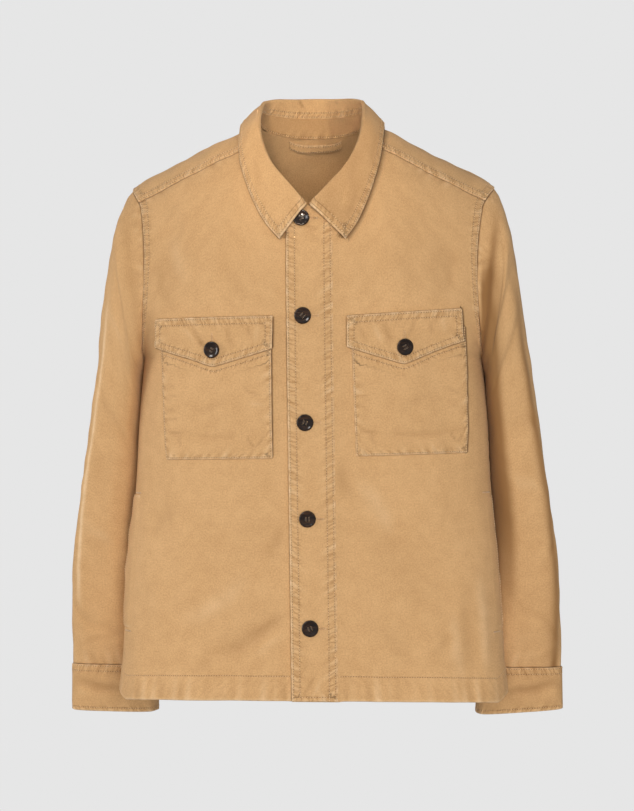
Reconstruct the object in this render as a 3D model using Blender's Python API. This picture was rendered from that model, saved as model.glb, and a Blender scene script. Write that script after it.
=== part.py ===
# Military overshirt, filled out with no wearer: hollow cloth panels at their real size.
# Metres, +Z up. The front faces -Y and +X is the wearer's left.
# The origin lies midway between the shoulder ridges, beside the neck, where a wearer carries it.

import math
from collections import namedtuple

import bpy
import numpy as np

# Cloth and seams
CLOTH = 0.0015
DOUBLE_CLOTH = 0.0022
STRIP_CLOTH = 0.0012
SEAM_GAP = 0.0003
LAY_GAP = 0.0005
PATCH_GAP = 0.0010
LAP_RAISE = CLOTH + PATCH_GAP

# Heights
HEM_HEIGHT = -0.693
ARMPIT_HEIGHT = -0.279
CHEST_HEIGHT = -0.200
BACK_YOKE_HEIGHT = -0.115
NECK_FRONT_HEIGHT = -0.097

# Shoulder ridge: falls in a straight line from beside the collar to the shoulder tip
RIDGE_NECK_WIDTH = 0.0905
RIDGE_NECK_HEIGHT = 0.006
RIDGE_FALL = 0.5055
RIDGE_ROUNDING = 0.020
RIDGE_MARGIN = 0.00002
SHOULDER_TIP_WIDTH = 0.2265
YOKE_FRONT_DROP = 0.029

# Roundness of the body in plan and over the shoulders
PLAN_POWER = 2.2
SHOULDER_POWER = 1.8

Width = namedtuple("Width", "height half_width")
BODY_WIDTHS = [
    Width(HEM_HEIGHT, 0.2425),
    Width(-0.664, 0.2395),
    Width(-0.610, 0.2360),
    Width(-0.535, 0.2300),
    Width(-0.469, 0.2240),
    Width(-0.410, 0.2200),
    Width(-0.365, 0.2180),
    Width(ARMPIT_HEIGHT, 0.2110),
]
ARMHOLE_WIDTHS = [
    Width(ARMPIT_HEIGHT, 0.2110),
    Width(-0.220, 0.2045),
    Width(-0.165, 0.2030),
    Width(-0.095, 0.2095),
    Width(-0.066, SHOULDER_TIP_WIDTH),
]

Depth = namedtuple("Depth", "height front back")
BODY_DEPTHS = [
    Depth(HEM_HEIGHT, 0.104, 0.084),
    Depth(-0.560, 0.106, 0.085),
    Depth(-0.430, 0.109, 0.089),
    Depth(ARMPIT_HEIGHT, 0.112, 0.102),
    Depth(-0.190, 0.110, 0.108),
    Depth(-0.090, 0.107, 0.114),
    Depth(0.040, 0.105, 0.118),
]
ARMHOLE_FRONT_DEPTH = 0.066
ARMHOLE_BACK_DEPTH = 0.070
ARMHOLE_FULL_HEIGHT = -0.190

# Front hem: hangs lower towards the sides and rounds up into the side seams
HEM_DIP = 0.0137
HEM_DIP_TOP = -0.620
HEM_CORNER_START = 0.945

# How strongly the rows of a panel follow its armhole edge
EDGE_PULL_POWER = 3

# Neckline of the front panels, from the centre front up to the yoke seam
NeckPoint = namedtuple("NeckPoint", "half_width height")
NECKLINE = [
    NeckPoint(0.0, NECK_FRONT_HEIGHT),
    NeckPoint(0.025, -0.086),
    NeckPoint(0.050, -0.061),
    NeckPoint(0.066, -0.033),
    NeckPoint(0.0705, -0.0143),
]
NECK_SPREAD_POWER = 0.8

# Front opening: the band leans a little, from the neck down to the hem
BAND_EDGE_TOP = -0.0263
BAND_EDGE_HEM = -0.0188
BAND_WIDTH = 0.055
BAND_TOP_DROP = 0.004
FRONT_EDGE_INSET = 0.0008
UNDER_LAP = 0.034
LAP_FLAT_WIDTH = 0.012
LAP_SLOPE_WIDTH = 0.016
BUTTON_INSET_TOP = 0.0180
BUTTON_INSET_HEM = 0.0242

# Large folds of the body: a soft trough from one point to another, seen from the front or the back
FRONT = 1
BACK = -1
Fold = namedtuple("Fold", "side start_x start_z end_x end_z spread depth")
BODY_FOLDS = [
    Fold(FRONT, -0.125, -0.652, -0.015, -0.580, 0.020, -0.0050),
    Fold(FRONT, -0.060, -0.535, -0.020, -0.470, 0.018, -0.0035),
    Fold(FRONT, -0.188, -0.125, -0.165, -0.225, 0.018, -0.0035),
    Fold(FRONT, 0.180, -0.120, 0.160, -0.215, 0.018, -0.0030),
    Fold(FRONT, 0.075, -0.470, 0.175, -0.590, 0.024, -0.0040),
    Fold(BACK, -0.150, -0.150, -0.110, -0.330, 0.024, -0.0045),
    Fold(BACK, 0.150, -0.155, 0.115, -0.320, 0.024, -0.0045),
    Fold(BACK, -0.160, -0.560, -0.030, -0.470, 0.024, -0.0045),
    Fold(BACK, 0.150, -0.600, 0.045, -0.500, 0.022, -0.0040),
]
FOLD_FADE = 0.030
FOLD_TAPER = 0.3

# Sleeve rings below the armhole: outer line, inner line, place and depth of each ring,
# its slant, and the share of the depth that its flat front half has
SleeveRing = namedtuple(
    "SleeveRing", "outer_x outer_z half_width inner_z centre_y half_depth slant front_share")
SLEEVE_RINGS = [
    SleeveRing(0.2420, -0.108, 0.0130, -0.2885, 0.001, 0.0735, 0, 0.925),
    SleeveRing(0.2525, -0.160, 0.0185, -0.302, 0.003, 0.0770, 1, 0.76),
    SleeveRing(0.2620, -0.228, 0.0230, -0.325, 0.008, 0.0775, 3, 0.66),
    SleeveRing(0.2720, -0.300, 0.0270, -0.360, 0.015, 0.0750, 7, 0.64),
    SleeveRing(0.2830, -0.370, 0.0310, -0.408, 0.024, 0.0700, 12, 0.68),
    SleeveRing(0.2932, -0.438, 0.0340, -0.462, 0.034, 0.0640, 17, 0.74),
    SleeveRing(0.3022, -0.503, 0.0380, -0.518, 0.043, 0.0560, 22, 0.82),
    SleeveRing(0.3085, -0.570, 0.0430, -0.578, 0.052, 0.0460, 22, 0.90),
    SleeveRing(0.3110, -0.625, 0.0480, -0.628, 0.060, 0.0350, 17, 1.0),
    SleeveRing(0.3115, -0.667, 0.0510, -0.668, 0.065, 0.0270, 12, 1.0),
]
CUFF_BOTTOM_RING = SleeveRing(0.3125, -0.727, 0.0530, -0.729, 0.066, 0.0235, 10, 1.0)
SLEEVE_STEPS_BETWEEN_RINGS = 2
SLEEVE_POWER = 3.4
UNDERARM_START = 0.55
UNDERARM_BLEND = 0.35
CUFF_ROWS = 3
CUFF_PROUD = 0.0008

# Large sleeve folds: angle round the sleeve (0 outside, 90 front), share of its length
SleeveFold = namedtuple("SleeveFold", "angle along turn spread length depth")
SLEEVE_FOLDS = [
    SleeveFold(60, 0.16, 40, 0.055, 60, -0.0035),
    SleeveFold(75, 0.50, -50, 0.045, 70, -0.0035),
    SleeveFold(20, 0.62, 60, 0.045, 65, -0.0030),
    SleeveFold(200, 0.45, 40, 0.055, 70, -0.0035),
    SleeveFold(285, 0.55, -50, 0.050, 70, -0.0040),
    SleeveFold(218, 0.25, 0, 0.120, 26, 0.0085),
]
SLEEVE_FOLD_BEND = 0.35
SLEEVE_FOLD_END = 0.12

# Collar: neck seam, rise of the roll above it, lean towards the neck, and the leaf's outer edge
CollarStation = namedtuple(
    "CollarStation", "seam_side seam_x seam_z inset rise lean edge_side edge_x edge_z edge_lift")
COLLAR_STATIONS = [
    CollarStation(FRONT, 0.0020, -0.0985, -0.0060, 0.004, 0.000, FRONT, 0.0375, -0.1380, 0.0085),
    CollarStation(FRONT, 0.0230, -0.0820, 0.0020, 0.011, 0.003, FRONT, 0.0550, -0.1150, 0.0070),
    CollarStation(FRONT, 0.0490, -0.0600, 0.0027, 0.018, 0.005, FRONT, 0.0715, -0.0810, 0.0060),
    CollarStation(FRONT, 0.0650, -0.0330, 0.0027, 0.023, 0.006, FRONT, 0.0840, -0.0430, 0.0055),
    CollarStation(FRONT, 0.0705, -0.0080, 0.0027, 0.025, 0.007, FRONT, 0.0870, -0.0150, 0.0055),
    CollarStation(FRONT, 0.0700, 0.0146, 0.0027, 0.023, 0.007, FRONT, 0.0868, 0.0060, 0.0060),
    CollarStation(BACK, 0.0660, 0.0110, 0.0027, 0.033, 0.008, BACK, 0.0860, -0.0100, 0.0060),
    CollarStation(BACK, 0.0540, 0.0070, 0.0027, 0.041, 0.009, BACK, 0.0755, -0.0255, 0.0055),
    CollarStation(BACK, 0.0280, 0.0030, 0.0027, 0.0465, 0.006, BACK, 0.0400, -0.0340, 0.0055),
    CollarStation(BACK, 0.0, 0.0020, 0.0027, 0.048, 0.005, BACK, 0.0, -0.0350, 0.0060),
]
# The two points of the collar hang a little to one side, less so further round
LEFT_TIP_ASIDE = 0.0080
RIGHT_TIP_ASIDE = 0.0038
TIP_WEIGHTS = (1.0, 0.6, 0.25)
NECK_CENTRE_Y = -0.015
LEAF_BULGE = 0.0018
STAND_SHARE = 0.52
STAND_FIRST_STATION = 1
STEPS_BETWEEN_STATIONS = 2
ROLL_RADIUS = 0.0034
ROLL_CROWN = 0.75
ROLL_FALL = 0.0012
ROLL_FOOT_SHARE = 0.82
LEAF_SHARES = (0.22, 0.45, 0.72, 1.0)

# Hanger loop, inside the back neck: its ends turn up to the seam
LOOP_HALF_LENGTH = 0.0335
LOOP_WIDTH = 0.009
LOOP_TOP_DROP = 0.006
LOOP_END_RISE = 0.0045
LOOP_END_POWER = 4
LOOP_STEPS = 8

# Chest pockets and flaps: the two are not sewn on quite alike
Pocket = namedtuple(
    "Pocket",
    "word hand top_inner_x top_outer_x bottom_inner_x bottom_outer_x bottom_inner_z bottom_outer_z")
POCKETS = [
    Pocket("left", 1, 0.0522, 0.1866, 0.0583, 0.1910, -0.3981, -0.3946),
    Pocket("right", -1, 0.0436, 0.1828, 0.0422, 0.1752, -0.4009, -0.4034),
]
POCKET_TOP = -0.242
Flap = namedtuple(
    "Flap", "word hand inner_x outer_x inner_top outer_top inner_height outer_height point_height")
FLAPS = [
    Flap("left", 1, 0.0474, 0.1831, -0.2301, -0.2200, 0.0370, 0.0373, 0.0629),
    Flap("right", -1, 0.0418, 0.1868, -0.2301, -0.2320, 0.0390, 0.0335, 0.0600),
]
FLAP_BUTTON_ABOVE_POINT = 0.021
FLAP_LIFT = PATCH_GAP + STRIP_CLOTH + PATCH_GAP + CLOTH

# Side pocket welts, in the side seams
WELT_TOP = -0.449
WELT_BOTTOM = -0.612
WELT_WIDTH_ANGLE = 20
WELT_LIP = 0.0035
WELT_ROWS = 6
WELT_COLUMNS = 3

# Sleeve vents: angle round the sleeve and share of its length
VENT_FIRST_ANGLE = 322
VENT_LAST_ANGLE = 345
VENT_TOP_SHARE = 0.76
VENT_COLUMNS = 2
VENT_LIFT = 2 * LAY_GAP + STRIP_CLOTH
CUFF_BUTTON_ANGLE = 318

# Buttons
BUTTON_RADIUS = 0.0102
ButtonRing = namedtuple("ButtonRing", "inset height")
BUTTON_PROFILE = [
    ButtonRing(0.0008, 0.0),
    ButtonRing(0.0, 0.0010),
    ButtonRing(0.0006, 0.0034),
    ButtonRing(0.0022, 0.0032),
    ButtonRing(0.0034, 0.0025),
]
BUTTON_SIDES = 16
FRONT_BUTTON_HEIGHTS = [-0.1130, -0.2300, -0.3580, -0.4735, -0.6050]

# Fineness of the panels and of the curves between them
SLOPE_STEP = 0.0002
SOLVE_STEPS = 60
SOLVE_RATE = 0.3
SHARP_ANGLE = 50
BODY_ROWS = 14
ARMHOLE_ROWS = 7
FRONT_NECK_COLUMNS = 5
FRONT_SHOULDER_COLUMNS = 6
BACK_COLUMNS = 18
YOKE_SIDE_STEPS = 6
YOKE_BACK_STEPS = 8
BAND_COLUMNS = 3
PATCH_COLUMNS = 8
PATCH_ROWS = 8
FLAP_ROWS = 4

# Colours: tan cotton twill and dark horn-like buttons
TWILL_COLOUR = (0.62, 0.41, 0.20, 1.0)
TWILL_ROUGHNESS = 0.85
BUTTON_COLOUR = (0.018, 0.012, 0.010, 1.0)
BUTTON_ROUGHNESS = 0.25


def make_material(name, colour, roughness):
    material = bpy.data.materials.new(name)
    material.use_nodes = True
    shader = material.node_tree.nodes["Principled BSDF"]
    shader.inputs["Base Color"].default_value = colour
    shader.inputs["Roughness"].default_value = roughness
    shader.inputs["Metallic"].default_value = 0.0
    return material


def smooth_curve(keys, values, at):
    """Value at a key on a smooth curve through the rows, with no overshoot."""
    keys = np.asarray(keys, dtype=float)
    values = np.asarray(values, dtype=float)
    if at <= keys[0]:
        return float(values[0])
    if at >= keys[-1]:
        return float(values[-1])
    steps = np.diff(keys)
    slopes = np.diff(values) / steps
    tangents = np.zeros(len(keys))
    for row in range(1, len(keys) - 1):
        before = slopes[row - 1]
        after = slopes[row]
        if before * after > 0:
            tangents[row] = 2 * before * after / (before + after)
    tangents[0] = slopes[0]
    tangents[-1] = slopes[-1]
    row = int(np.searchsorted(keys, at) - 1)
    share = (at - keys[row]) / steps[row]
    square = share * share
    cube = square * share
    return float(
        (2 * cube - 3 * square + 1) * values[row]
        + (cube - 2 * square + share) * steps[row] * tangents[row]
        + (3 * square - 2 * cube) * values[row + 1]
        + (cube - square) * steps[row] * tangents[row + 1])


def column(rows, name):
    return [getattr(row, name) for row in rows]


def soft_step(value):
    value = min(max(value, 0.0), 1.0)
    return value * value * (3 - 2 * value)


def mix(first, second, share):
    return first + (second - first) * share


def unit(vector):
    return vector / np.linalg.norm(vector)


def ridge_height(x):
    """Height of the shoulder ridge, rounded across the neck."""
    rounded = math.sqrt(x * x + RIDGE_ROUNDING ** 2)
    return RIDGE_NECK_HEIGHT + RIDGE_FALL * (RIDGE_NECK_WIDTH - rounded)


def yoke_front_height(x):
    return ridge_height(x) - YOKE_FRONT_DROP


def body_depth(z, side):
    name = "front" if side == FRONT else "back"
    return smooth_curve(column(BODY_DEPTHS, "height"), column(BODY_DEPTHS, name), z)


def edge_width(z):
    """Half width of a body panel: the side seam, and above it the armhole seam."""
    rows = BODY_WIDTHS if z <= ARMPIT_HEIGHT else ARMHOLE_WIDTHS
    return smooth_curve(column(rows, "height"), column(rows, "half_width"), z)


def plan_width(z, side):
    """Half width of the full oval that the panel is part of."""
    if z <= ARMPIT_HEIGHT:
        return edge_width(z)
    full = ARMHOLE_FRONT_DEPTH if side == FRONT else ARMHOLE_BACK_DEPTH
    below = max(ARMHOLE_FULL_HEIGHT - z, 0.0) / (ARMHOLE_FULL_HEIGHT - ARMPIT_HEIGHT)
    edge_depth = full * math.sqrt(max(1 - below * below, 0.0))
    share = (edge_depth / body_depth(z, side)) ** PLAN_POWER
    return edge_width(z) / (1 - share) ** (1 / PLAN_POWER)


def fullness(x, z, side):
    """Share of the body's depth at a point seen from the front: 1 at the middle, 0 at its edge."""
    across = max(1 - (abs(x) / plan_width(z, side)) ** PLAN_POWER, 0.0) ** (1 / PLAN_POWER)
    rise = max((z - CHEST_HEIGHT) / (ridge_height(x) - CHEST_HEIGHT), 0.0)
    upward = max(1 - rise ** SHOULDER_POWER, 0.0) ** (1 / SHOULDER_POWER)
    return across * upward


def body_normal(x, z, side):
    step = SLOPE_STEP

    def square(at_x, at_z):
        return (body_depth(at_z, side) * fullness(at_x, at_z, side)) ** 2

    y = -side * math.sqrt(square(x, z))
    slope_x = (square(x + step, z) - square(x - step, z)) / (2 * step)
    slope_z = (square(x, z + step) - square(x, z - step)) / (2 * step)
    return unit(np.array((-slope_x, 2 * y, -slope_z)))


def body_folds(x, z, side):
    """Depth of the large folds at a point of the body."""
    total = 0.0
    for fold in BODY_FOLDS:
        if fold.side != side:
            continue
        run = np.array((fold.end_x - fold.start_x, fold.end_z - fold.start_z))
        length = np.linalg.norm(run)
        offset = np.array((x - fold.start_x, z - fold.start_z))
        along = float(offset @ run) / length ** 2
        aside = abs(offset[0] * run[1] - offset[1] * run[0]) / length
        taper = soft_step(1 - abs(along - 0.5) * 2 + FOLD_TAPER)
        total += fold.depth * taper * math.exp(-(aside / fold.spread) ** 2)
    fade = soft_step((edge_width(z) - abs(x)) / FOLD_FADE)
    if side == FRONT:
        from_band = abs(x - band_edge(z) - BAND_WIDTH / 2) - BAND_WIDTH / 2
        fade *= soft_step(from_band / FOLD_FADE)
    return total * fade


def lay(x, z, side, lift=0.0):
    """A point on the body, moved out by a lift, and the outward direction there."""
    z = min(z, ridge_height(x) - RIDGE_MARGIN)
    y = -side * body_depth(z, side) * fullness(x, z, side)
    normal = body_normal(x, z, side)
    out = lift + body_folds(x, z, side)
    return np.array((x, y, z)) + normal * out, normal


def height_over_shoulder(x, turn):
    """Height at a turn over the shoulder: 0 at the front chest, 90 on the ridge, 180 at the back."""
    rise = math.sin(math.radians(turn)) ** (2 / SHOULDER_POWER)
    return CHEST_HEIGHT + rise * (ridge_height(x) - CHEST_HEIGHT)


def turn_over_shoulder(x, z, side):
    rise = min((z - CHEST_HEIGHT) / (ridge_height(x) - CHEST_HEIGHT), 1.0)
    turn = math.degrees(math.asin(rise ** (SHOULDER_POWER / 2)))
    return turn if side == FRONT else 180 - turn


def lay_over_shoulder(x, turn, lift=0.0):
    side = FRONT if turn < 90 else BACK
    return lay(x, height_over_shoulder(x, turn), side, lift)


def sheet(points_and_normals):
    """Split a grid of (point, normal) pairs into two arrays."""
    points = np.array([[pair[0] for pair in row] for row in points_and_normals])
    normals = np.array([[pair[1] for pair in row] for row in points_and_normals])
    return points, normals


def grid_normals(points, around, outward_from=None):
    """Unit normals of a grid of points, turned away from a line of centres where one is given."""
    down = np.gradient(points, axis=0)
    if around:
        across = (np.roll(points, -1, axis=1) - np.roll(points, 1, axis=1)) / 2
    else:
        across = np.gradient(points, axis=1)
    normals = np.cross(down, across)
    normals /= np.linalg.norm(normals, axis=2, keepdims=True)
    if outward_from is not None:
        facing = np.sum(normals * (points - outward_from), axis=2)
        if np.sum(facing) < 0:
            normals = -normals
    return normals


def add_wall(name, points, normals, thickness, material, parent, around=False):
    """A closed wall: a grid of outer points cut along its short diagonals, its inner face, and rims."""
    rows, columns = points.shape[:2]
    inner = points - normals * thickness
    vertices = np.concatenate((points.reshape(-1, 3), inner.reshape(-1, 3)))
    inner_start = rows * columns
    last_column = columns if around else columns - 1
    faces = []

    def corner(row, at_column):
        return row * columns + at_column % columns

    for row in range(rows - 1):
        for at_column in range(last_column):
            quad = (
                corner(row, at_column),
                corner(row, at_column + 1),
                corner(row + 1, at_column + 1),
                corner(row + 1, at_column),
            )
            ends = vertices[list(quad)]
            halves = [(quad[0], quad[1], quad[2]), (quad[0], quad[2], quad[3])]
            if np.linalg.norm(ends[3] - ends[1]) < np.linalg.norm(ends[2] - ends[0]):
                halves = [(quad[1], quad[2], quad[3]), (quad[0], quad[1], quad[3])]
            for half in halves:
                faces.append(half)
                faces.append(tuple(inner_start + index for index in reversed(half)))
    rim = [corner(0, at_column) for at_column in range(columns)]
    far_rim = [corner(rows - 1, at_column) for at_column in range(columns)]
    edges = []
    for at_column in range(last_column):
        edges.append((rim[(at_column + 1) % columns], rim[at_column]))
        edges.append((far_rim[at_column], far_rim[(at_column + 1) % columns]))
    if not around:
        for row in range(rows - 1):
            edges.append((corner(row, 0), corner(row + 1, 0)))
            edges.append((corner(row + 1, columns - 1), corner(row, columns - 1)))
    for first, second in edges:
        faces.append((first, second, inner_start + second, inner_start + first))

    middle = (min(rows // 2, rows - 2), min(columns // 2, columns - 2))
    along = points[middle[0], middle[1] + 1] - points[middle]
    down = points[middle[0] + 1, middle[1]] - points[middle]
    if np.dot(np.cross(along, down), normals[middle]) < 0:
        faces = [tuple(reversed(face)) for face in faces]
    mesh = bpy.data.meshes.new(name)
    mesh.from_pydata([tuple(vertex) for vertex in vertices], [], faces)
    finish_object(name, mesh, material, parent)


def finish_object(name, mesh, material, parent):
    mesh.shade_smooth()
    mesh.set_sharp_from_angle(angle=math.radians(SHARP_ANGLE))
    mesh.materials.append(material)
    piece = bpy.data.objects.new(name, mesh)
    piece.parent = parent
    bpy.context.scene.collection.objects.link(piece)


def body_row_heights():
    return [mix(HEM_HEIGHT, ARMPIT_HEIGHT, row / BODY_ROWS) for row in range(BODY_ROWS + 1)]


def armhole_heights(top):
    """Heights up the armhole seam, close together in its round lower part."""
    middle = (ARMPIT_HEIGHT + ridge_height(SHOULDER_TIP_WIDTH)) / 2
    half = middle - ARMPIT_HEIGHT
    last = math.acos((middle - top) / half)
    turns = [last * row / ARMHOLE_ROWS for row in range(1, ARMHOLE_ROWS + 1)]
    return [middle - half * math.cos(turn) for turn in turns]


def armhole_crossing(fall):
    """Where the armhole seam meets a line that runs a fixed fall below the ridge."""
    z = ridge_height(SHOULDER_TIP_WIDTH)
    for _ in range(SOLVE_STEPS):
        z = mix(z, ridge_height(edge_width(z)) - fall, SOLVE_RATE)
    return edge_width(z), z


def band_edge(z):
    share = (z - NECK_FRONT_HEIGHT) / (HEM_HEIGHT - NECK_FRONT_HEIGHT)
    return mix(BAND_EDGE_TOP, BAND_EDGE_HEM, share)


def button_place(z, lift):
    """Where a button stands on the band, and the outward direction there."""
    share = (z - NECK_FRONT_HEIGHT) / (HEM_HEIGHT - NECK_FRONT_HEIGHT)
    inset = mix(BUTTON_INSET_TOP, BUTTON_INSET_HEM, share)
    return lay(band_edge(z) + inset, z, FRONT, lift)


def hem_dip(x, z):
    """How far the front hem hangs below its height at the centre."""
    out = min(abs(x) / edge_width(HEM_HEIGHT), 1.0)
    fall = HEM_DIP * (1 - (1 - out ** PLAN_POWER) ** (1 / PLAN_POWER))
    corner = 1 - soft_step((out - HEM_CORNER_START) / (1 - HEM_CORNER_START))
    low = soft_step((HEM_DIP_TOP - z) / (HEM_DIP_TOP - HEM_HEIGHT))
    return fall * corner * low


def yoke_seam_widths():
    outer, _ = armhole_crossing(YOKE_FRONT_DROP)
    inner = NECKLINE[-1].half_width
    steps = FRONT_SHOULDER_COLUMNS
    return [mix(inner, outer, step / steps) for step in range(steps + 1)]


def front_grid(hand, lap_edge, lift_at):
    """Grid of a front panel: hand is the sign of x, lap_edge gives its free edge."""
    columns = FRONT_NECK_COLUMNS + FRONT_SHOULDER_COLUMNS
    neck_steps = [step / FRONT_NECK_COLUMNS for step in range(FRONT_NECK_COLUMNS)]
    top = []
    first = lap_edge(NECK_FRONT_HEIGHT)
    for share in neck_steps:
        x = mix(first, NECKLINE[-1].half_width, share ** NECK_SPREAD_POWER)
        height = smooth_curve(column(NECKLINE, "half_width"), column(NECKLINE, "height"), x)
        top.append((x, height - SEAM_GAP))
    for x in yoke_seam_widths():
        top.append((x, yoke_front_height(x) - SEAM_GAP))
    below = top[-1][1]
    edge_heights = armhole_heights(below)
    grid = []
    for z in body_row_heights():
        lap = lap_edge(z) / edge_width(z)
        start = math.copysign(math.asin(abs(lap) ** (PLAN_POWER / 2)), lap)
        row = []
        for step in range(columns + 1):
            angle = mix(start, math.pi / 2, step / columns)
            x = edge_width(z) * math.copysign(abs(math.sin(angle)) ** (2 / PLAN_POWER), angle)
            row.append((x, z - hem_dip(x, z)))
        grid.append(row)
    bottom = [x for x, _ in grid[-1]]
    for row_index, edge_height in enumerate(edge_heights, start=1):
        share = row_index / ARMHOLE_ROWS
        edge_share = (edge_height - ARMPIT_HEIGHT) / (below - ARMPIT_HEIGHT)
        row = []
        for step in range(columns + 1):
            x_top, z_top = top[step]
            outwardness = (step / columns) ** EDGE_PULL_POWER
            z = mix(ARMPIT_HEIGHT, z_top, mix(share, edge_share, outwardness))
            x = mix(bottom[step], x_top, share)
            limit = mix(1.0, edge_width(edge_height) / mix(bottom[-1], top[-1][0], share), outwardness)
            row.append((x * limit, z))
        grid.append(row)
    laid = []
    for row in grid:
        laid.append([lay(hand * x, z, FRONT, lift_at(hand * x, z)) for x, z in row])
    return sheet(laid)


def make_fronts(material, parent):
    def left_lap(z):
        return band_edge(z) + FRONT_EDGE_INSET

    def right_lap(z):
        return -(band_edge(z) + UNDER_LAP)

    def left_lift(x, z):
        flat_from = band_edge(z) + BAND_WIDTH + LAP_FLAT_WIDTH
        return LAP_RAISE * soft_step((flat_from - x) / LAP_SLOPE_WIDTH)

    left = front_grid(1, left_lap, left_lift)
    right = front_grid(-1, right_lap, lambda x, z: 0.0)
    add_wall("front_left", *left, CLOTH, material, parent)
    add_wall("front_right", *right, CLOTH, material, parent)
    return left


def make_band(material, parent):
    """Button band: a strip on the raised edge of the left front."""
    heights = body_row_heights()[:-1]
    step = heights[1] - heights[0]
    top = NECK_FRONT_HEIGHT - BAND_TOP_DROP
    while heights[-1] + step < top:
        heights.append(heights[-1] + step)
    heights.append(top)
    laid = []
    for z in heights:
        row = []
        for part in range(BAND_COLUMNS + 1):
            x = band_edge(z) + BAND_WIDTH * part / BAND_COLUMNS
            row.append(lay(x, z, FRONT, LAP_RAISE + LAY_GAP + STRIP_CLOTH))
        laid.append(row)
    add_wall("placket", *sheet(laid), STRIP_CLOTH, material, parent)


def make_back(material, parent):
    top = BACK_YOKE_HEIGHT - SEAM_GAP
    edge_heights = armhole_heights(top)
    laid = []
    for z in body_row_heights():
        row = []
        for step in range(BACK_COLUMNS + 1):
            angle = math.pi / 2 * (2 * step / BACK_COLUMNS - 1)
            x = edge_width(z) * math.copysign(abs(math.sin(angle)) ** (2 / PLAN_POWER), angle)
            row.append(lay(x, z, BACK))
        laid.append(row)
    bottom = [pair[0][0] for pair in laid[-1]]
    top_widths = yoke_back_widths()
    for row_index, edge_height in enumerate(edge_heights, start=1):
        share = row_index / ARMHOLE_ROWS
        row = []
        for step in range(BACK_COLUMNS + 1):
            outwardness = abs(2 * step / BACK_COLUMNS - 1) ** EDGE_PULL_POWER
            z = mix(mix(ARMPIT_HEIGHT, top, share), edge_height, outwardness)
            x = mix(bottom[step], top_widths[step], share)
            own_edge = mix(bottom[-1], top_widths[-1], share)
            x *= mix(1.0, edge_width(edge_height) / own_edge, outwardness)
            row.append(lay(x, z, BACK))
        laid.append(row)
    points, normals = sheet(laid)
    points[:, 0] += (0.0, SEAM_GAP, 0.0)
    points[:, -1] += (0.0, SEAM_GAP, 0.0)
    add_wall("back", points, normals, CLOTH, material, parent)
    return points, normals


def yoke_back_widths():
    outer = edge_width(BACK_YOKE_HEIGHT)
    return [outer * (2 * step / BACK_COLUMNS - 1) for step in range(BACK_COLUMNS + 1)]


def make_yoke(material, parent):
    """Yoke over both shoulders: lines run from the neck edge out to the seams and armholes."""
    front_x, front_z = armhole_crossing(YOKE_FRONT_DROP)
    first_turn = turn_over_shoulder(front_x, front_z, FRONT)
    back_x = edge_width(BACK_YOKE_HEIGHT)
    last_turn = turn_over_shoulder(back_x, BACK_YOKE_HEIGHT, BACK)
    neck_x = NECKLINE[-1].half_width
    neck_first = turn_over_shoulder(neck_x, NECKLINE[-1].height, FRONT)
    back_rows = [row for row in COLLAR_STATIONS if row.seam_side == BACK]
    corner_row = back_rows[1]
    neck_turns = [neck_first]
    neck_widths = [neck_x]
    for row in COLLAR_STATIONS:
        turn = turn_over_shoulder(row.seam_x, row.seam_z, row.seam_side)
        if turn > neck_first + 1 and row.seam_x >= corner_row.seam_x:
            neck_turns.append(turn)
            neck_widths.append(row.seam_x)
    neck_last = neck_turns[-1]

    side_lines = []
    for step in range(YOKE_SIDE_STEPS + 1):
        share = step / YOKE_SIDE_STEPS
        inner_turn = mix(neck_first, neck_last, share)
        inner_x = smooth_curve(neck_turns, neck_widths, inner_turn)
        outer_turn = mix(first_turn, last_turn, share)
        outer_x = armhole_width_at_turn(outer_turn)
        side_lines.append((inner_x, inner_turn, outer_x, outer_turn))
    back_lines = []
    seam_x = column(back_rows[1:], "seam_x")
    seam_z = column(back_rows[1:], "seam_z")
    half = YOKE_BACK_STEPS // 2
    for step in range(1, half + 1):
        share = step / half
        inner_x = corner_row.seam_x * (1 - share)
        height = smooth_curve(list(reversed(seam_x)), list(reversed(seam_z)), inner_x)
        inner_turn = turn_over_shoulder(inner_x, height, BACK)
        outer_x = back_x * (1 - share)
        outer_turn = turn_over_shoulder(outer_x, BACK_YOKE_HEIGHT, BACK)
        back_lines.append((inner_x, inner_turn, outer_x, outer_turn))

    one_side = side_lines + back_lines
    lines = [(1, line) for line in one_side] + [(-1, line) for line in reversed(one_side[:-1])]
    laid = []
    for index, (hand, line) in enumerate(lines):
        inner_x, inner_turn, outer_x, outer_turn = line
        row = []
        for step, seam_x_here in enumerate(yoke_seam_widths()):
            share = step / FRONT_SHOULDER_COLUMNS
            x = mix(inner_x, outer_x, share)
            turn = mix(inner_turn, outer_turn, share)
            if index in (0, len(lines) - 1):
                x = seam_x_here
                turn = turn_over_shoulder(x, yoke_front_height(x), FRONT)
            row.append(lay_over_shoulder(hand * x, turn))
        laid.append(row)
    points, normals = sheet(laid)
    add_wall("yoke", points, normals, CLOTH, material, parent)
    edge = YOKE_SIDE_STEPS + 1
    return points[:edge, -1], normals[:edge, -1]


def armhole_width_at_turn(turn):
    """Half width of the armhole seam at a turn over the shoulder."""
    x = SHOULDER_TIP_WIDTH
    for _ in range(SOLVE_STEPS):
        x = mix(x, edge_width(height_over_shoulder(x, turn)), SOLVE_RATE)
    return x


def armhole_loop(front, yoke_edge, back):
    """Armhole seam of the left side as one loop, from the armpit up the front and down the back."""
    front_points = front[0][BODY_ROWS:, -1]
    front_normals = front[1][BODY_ROWS:, -1]
    back_points = back[0][BODY_ROWS + 1:, -1][::-1]
    back_normals = back[1][BODY_ROWS + 1:, -1][::-1]
    points = np.concatenate((front_points[:-1], yoke_edge[0], back_points[1:]))
    normals = np.concatenate((front_normals[:-1], yoke_edge[1], back_normals[1:]))
    return points, normals


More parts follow.
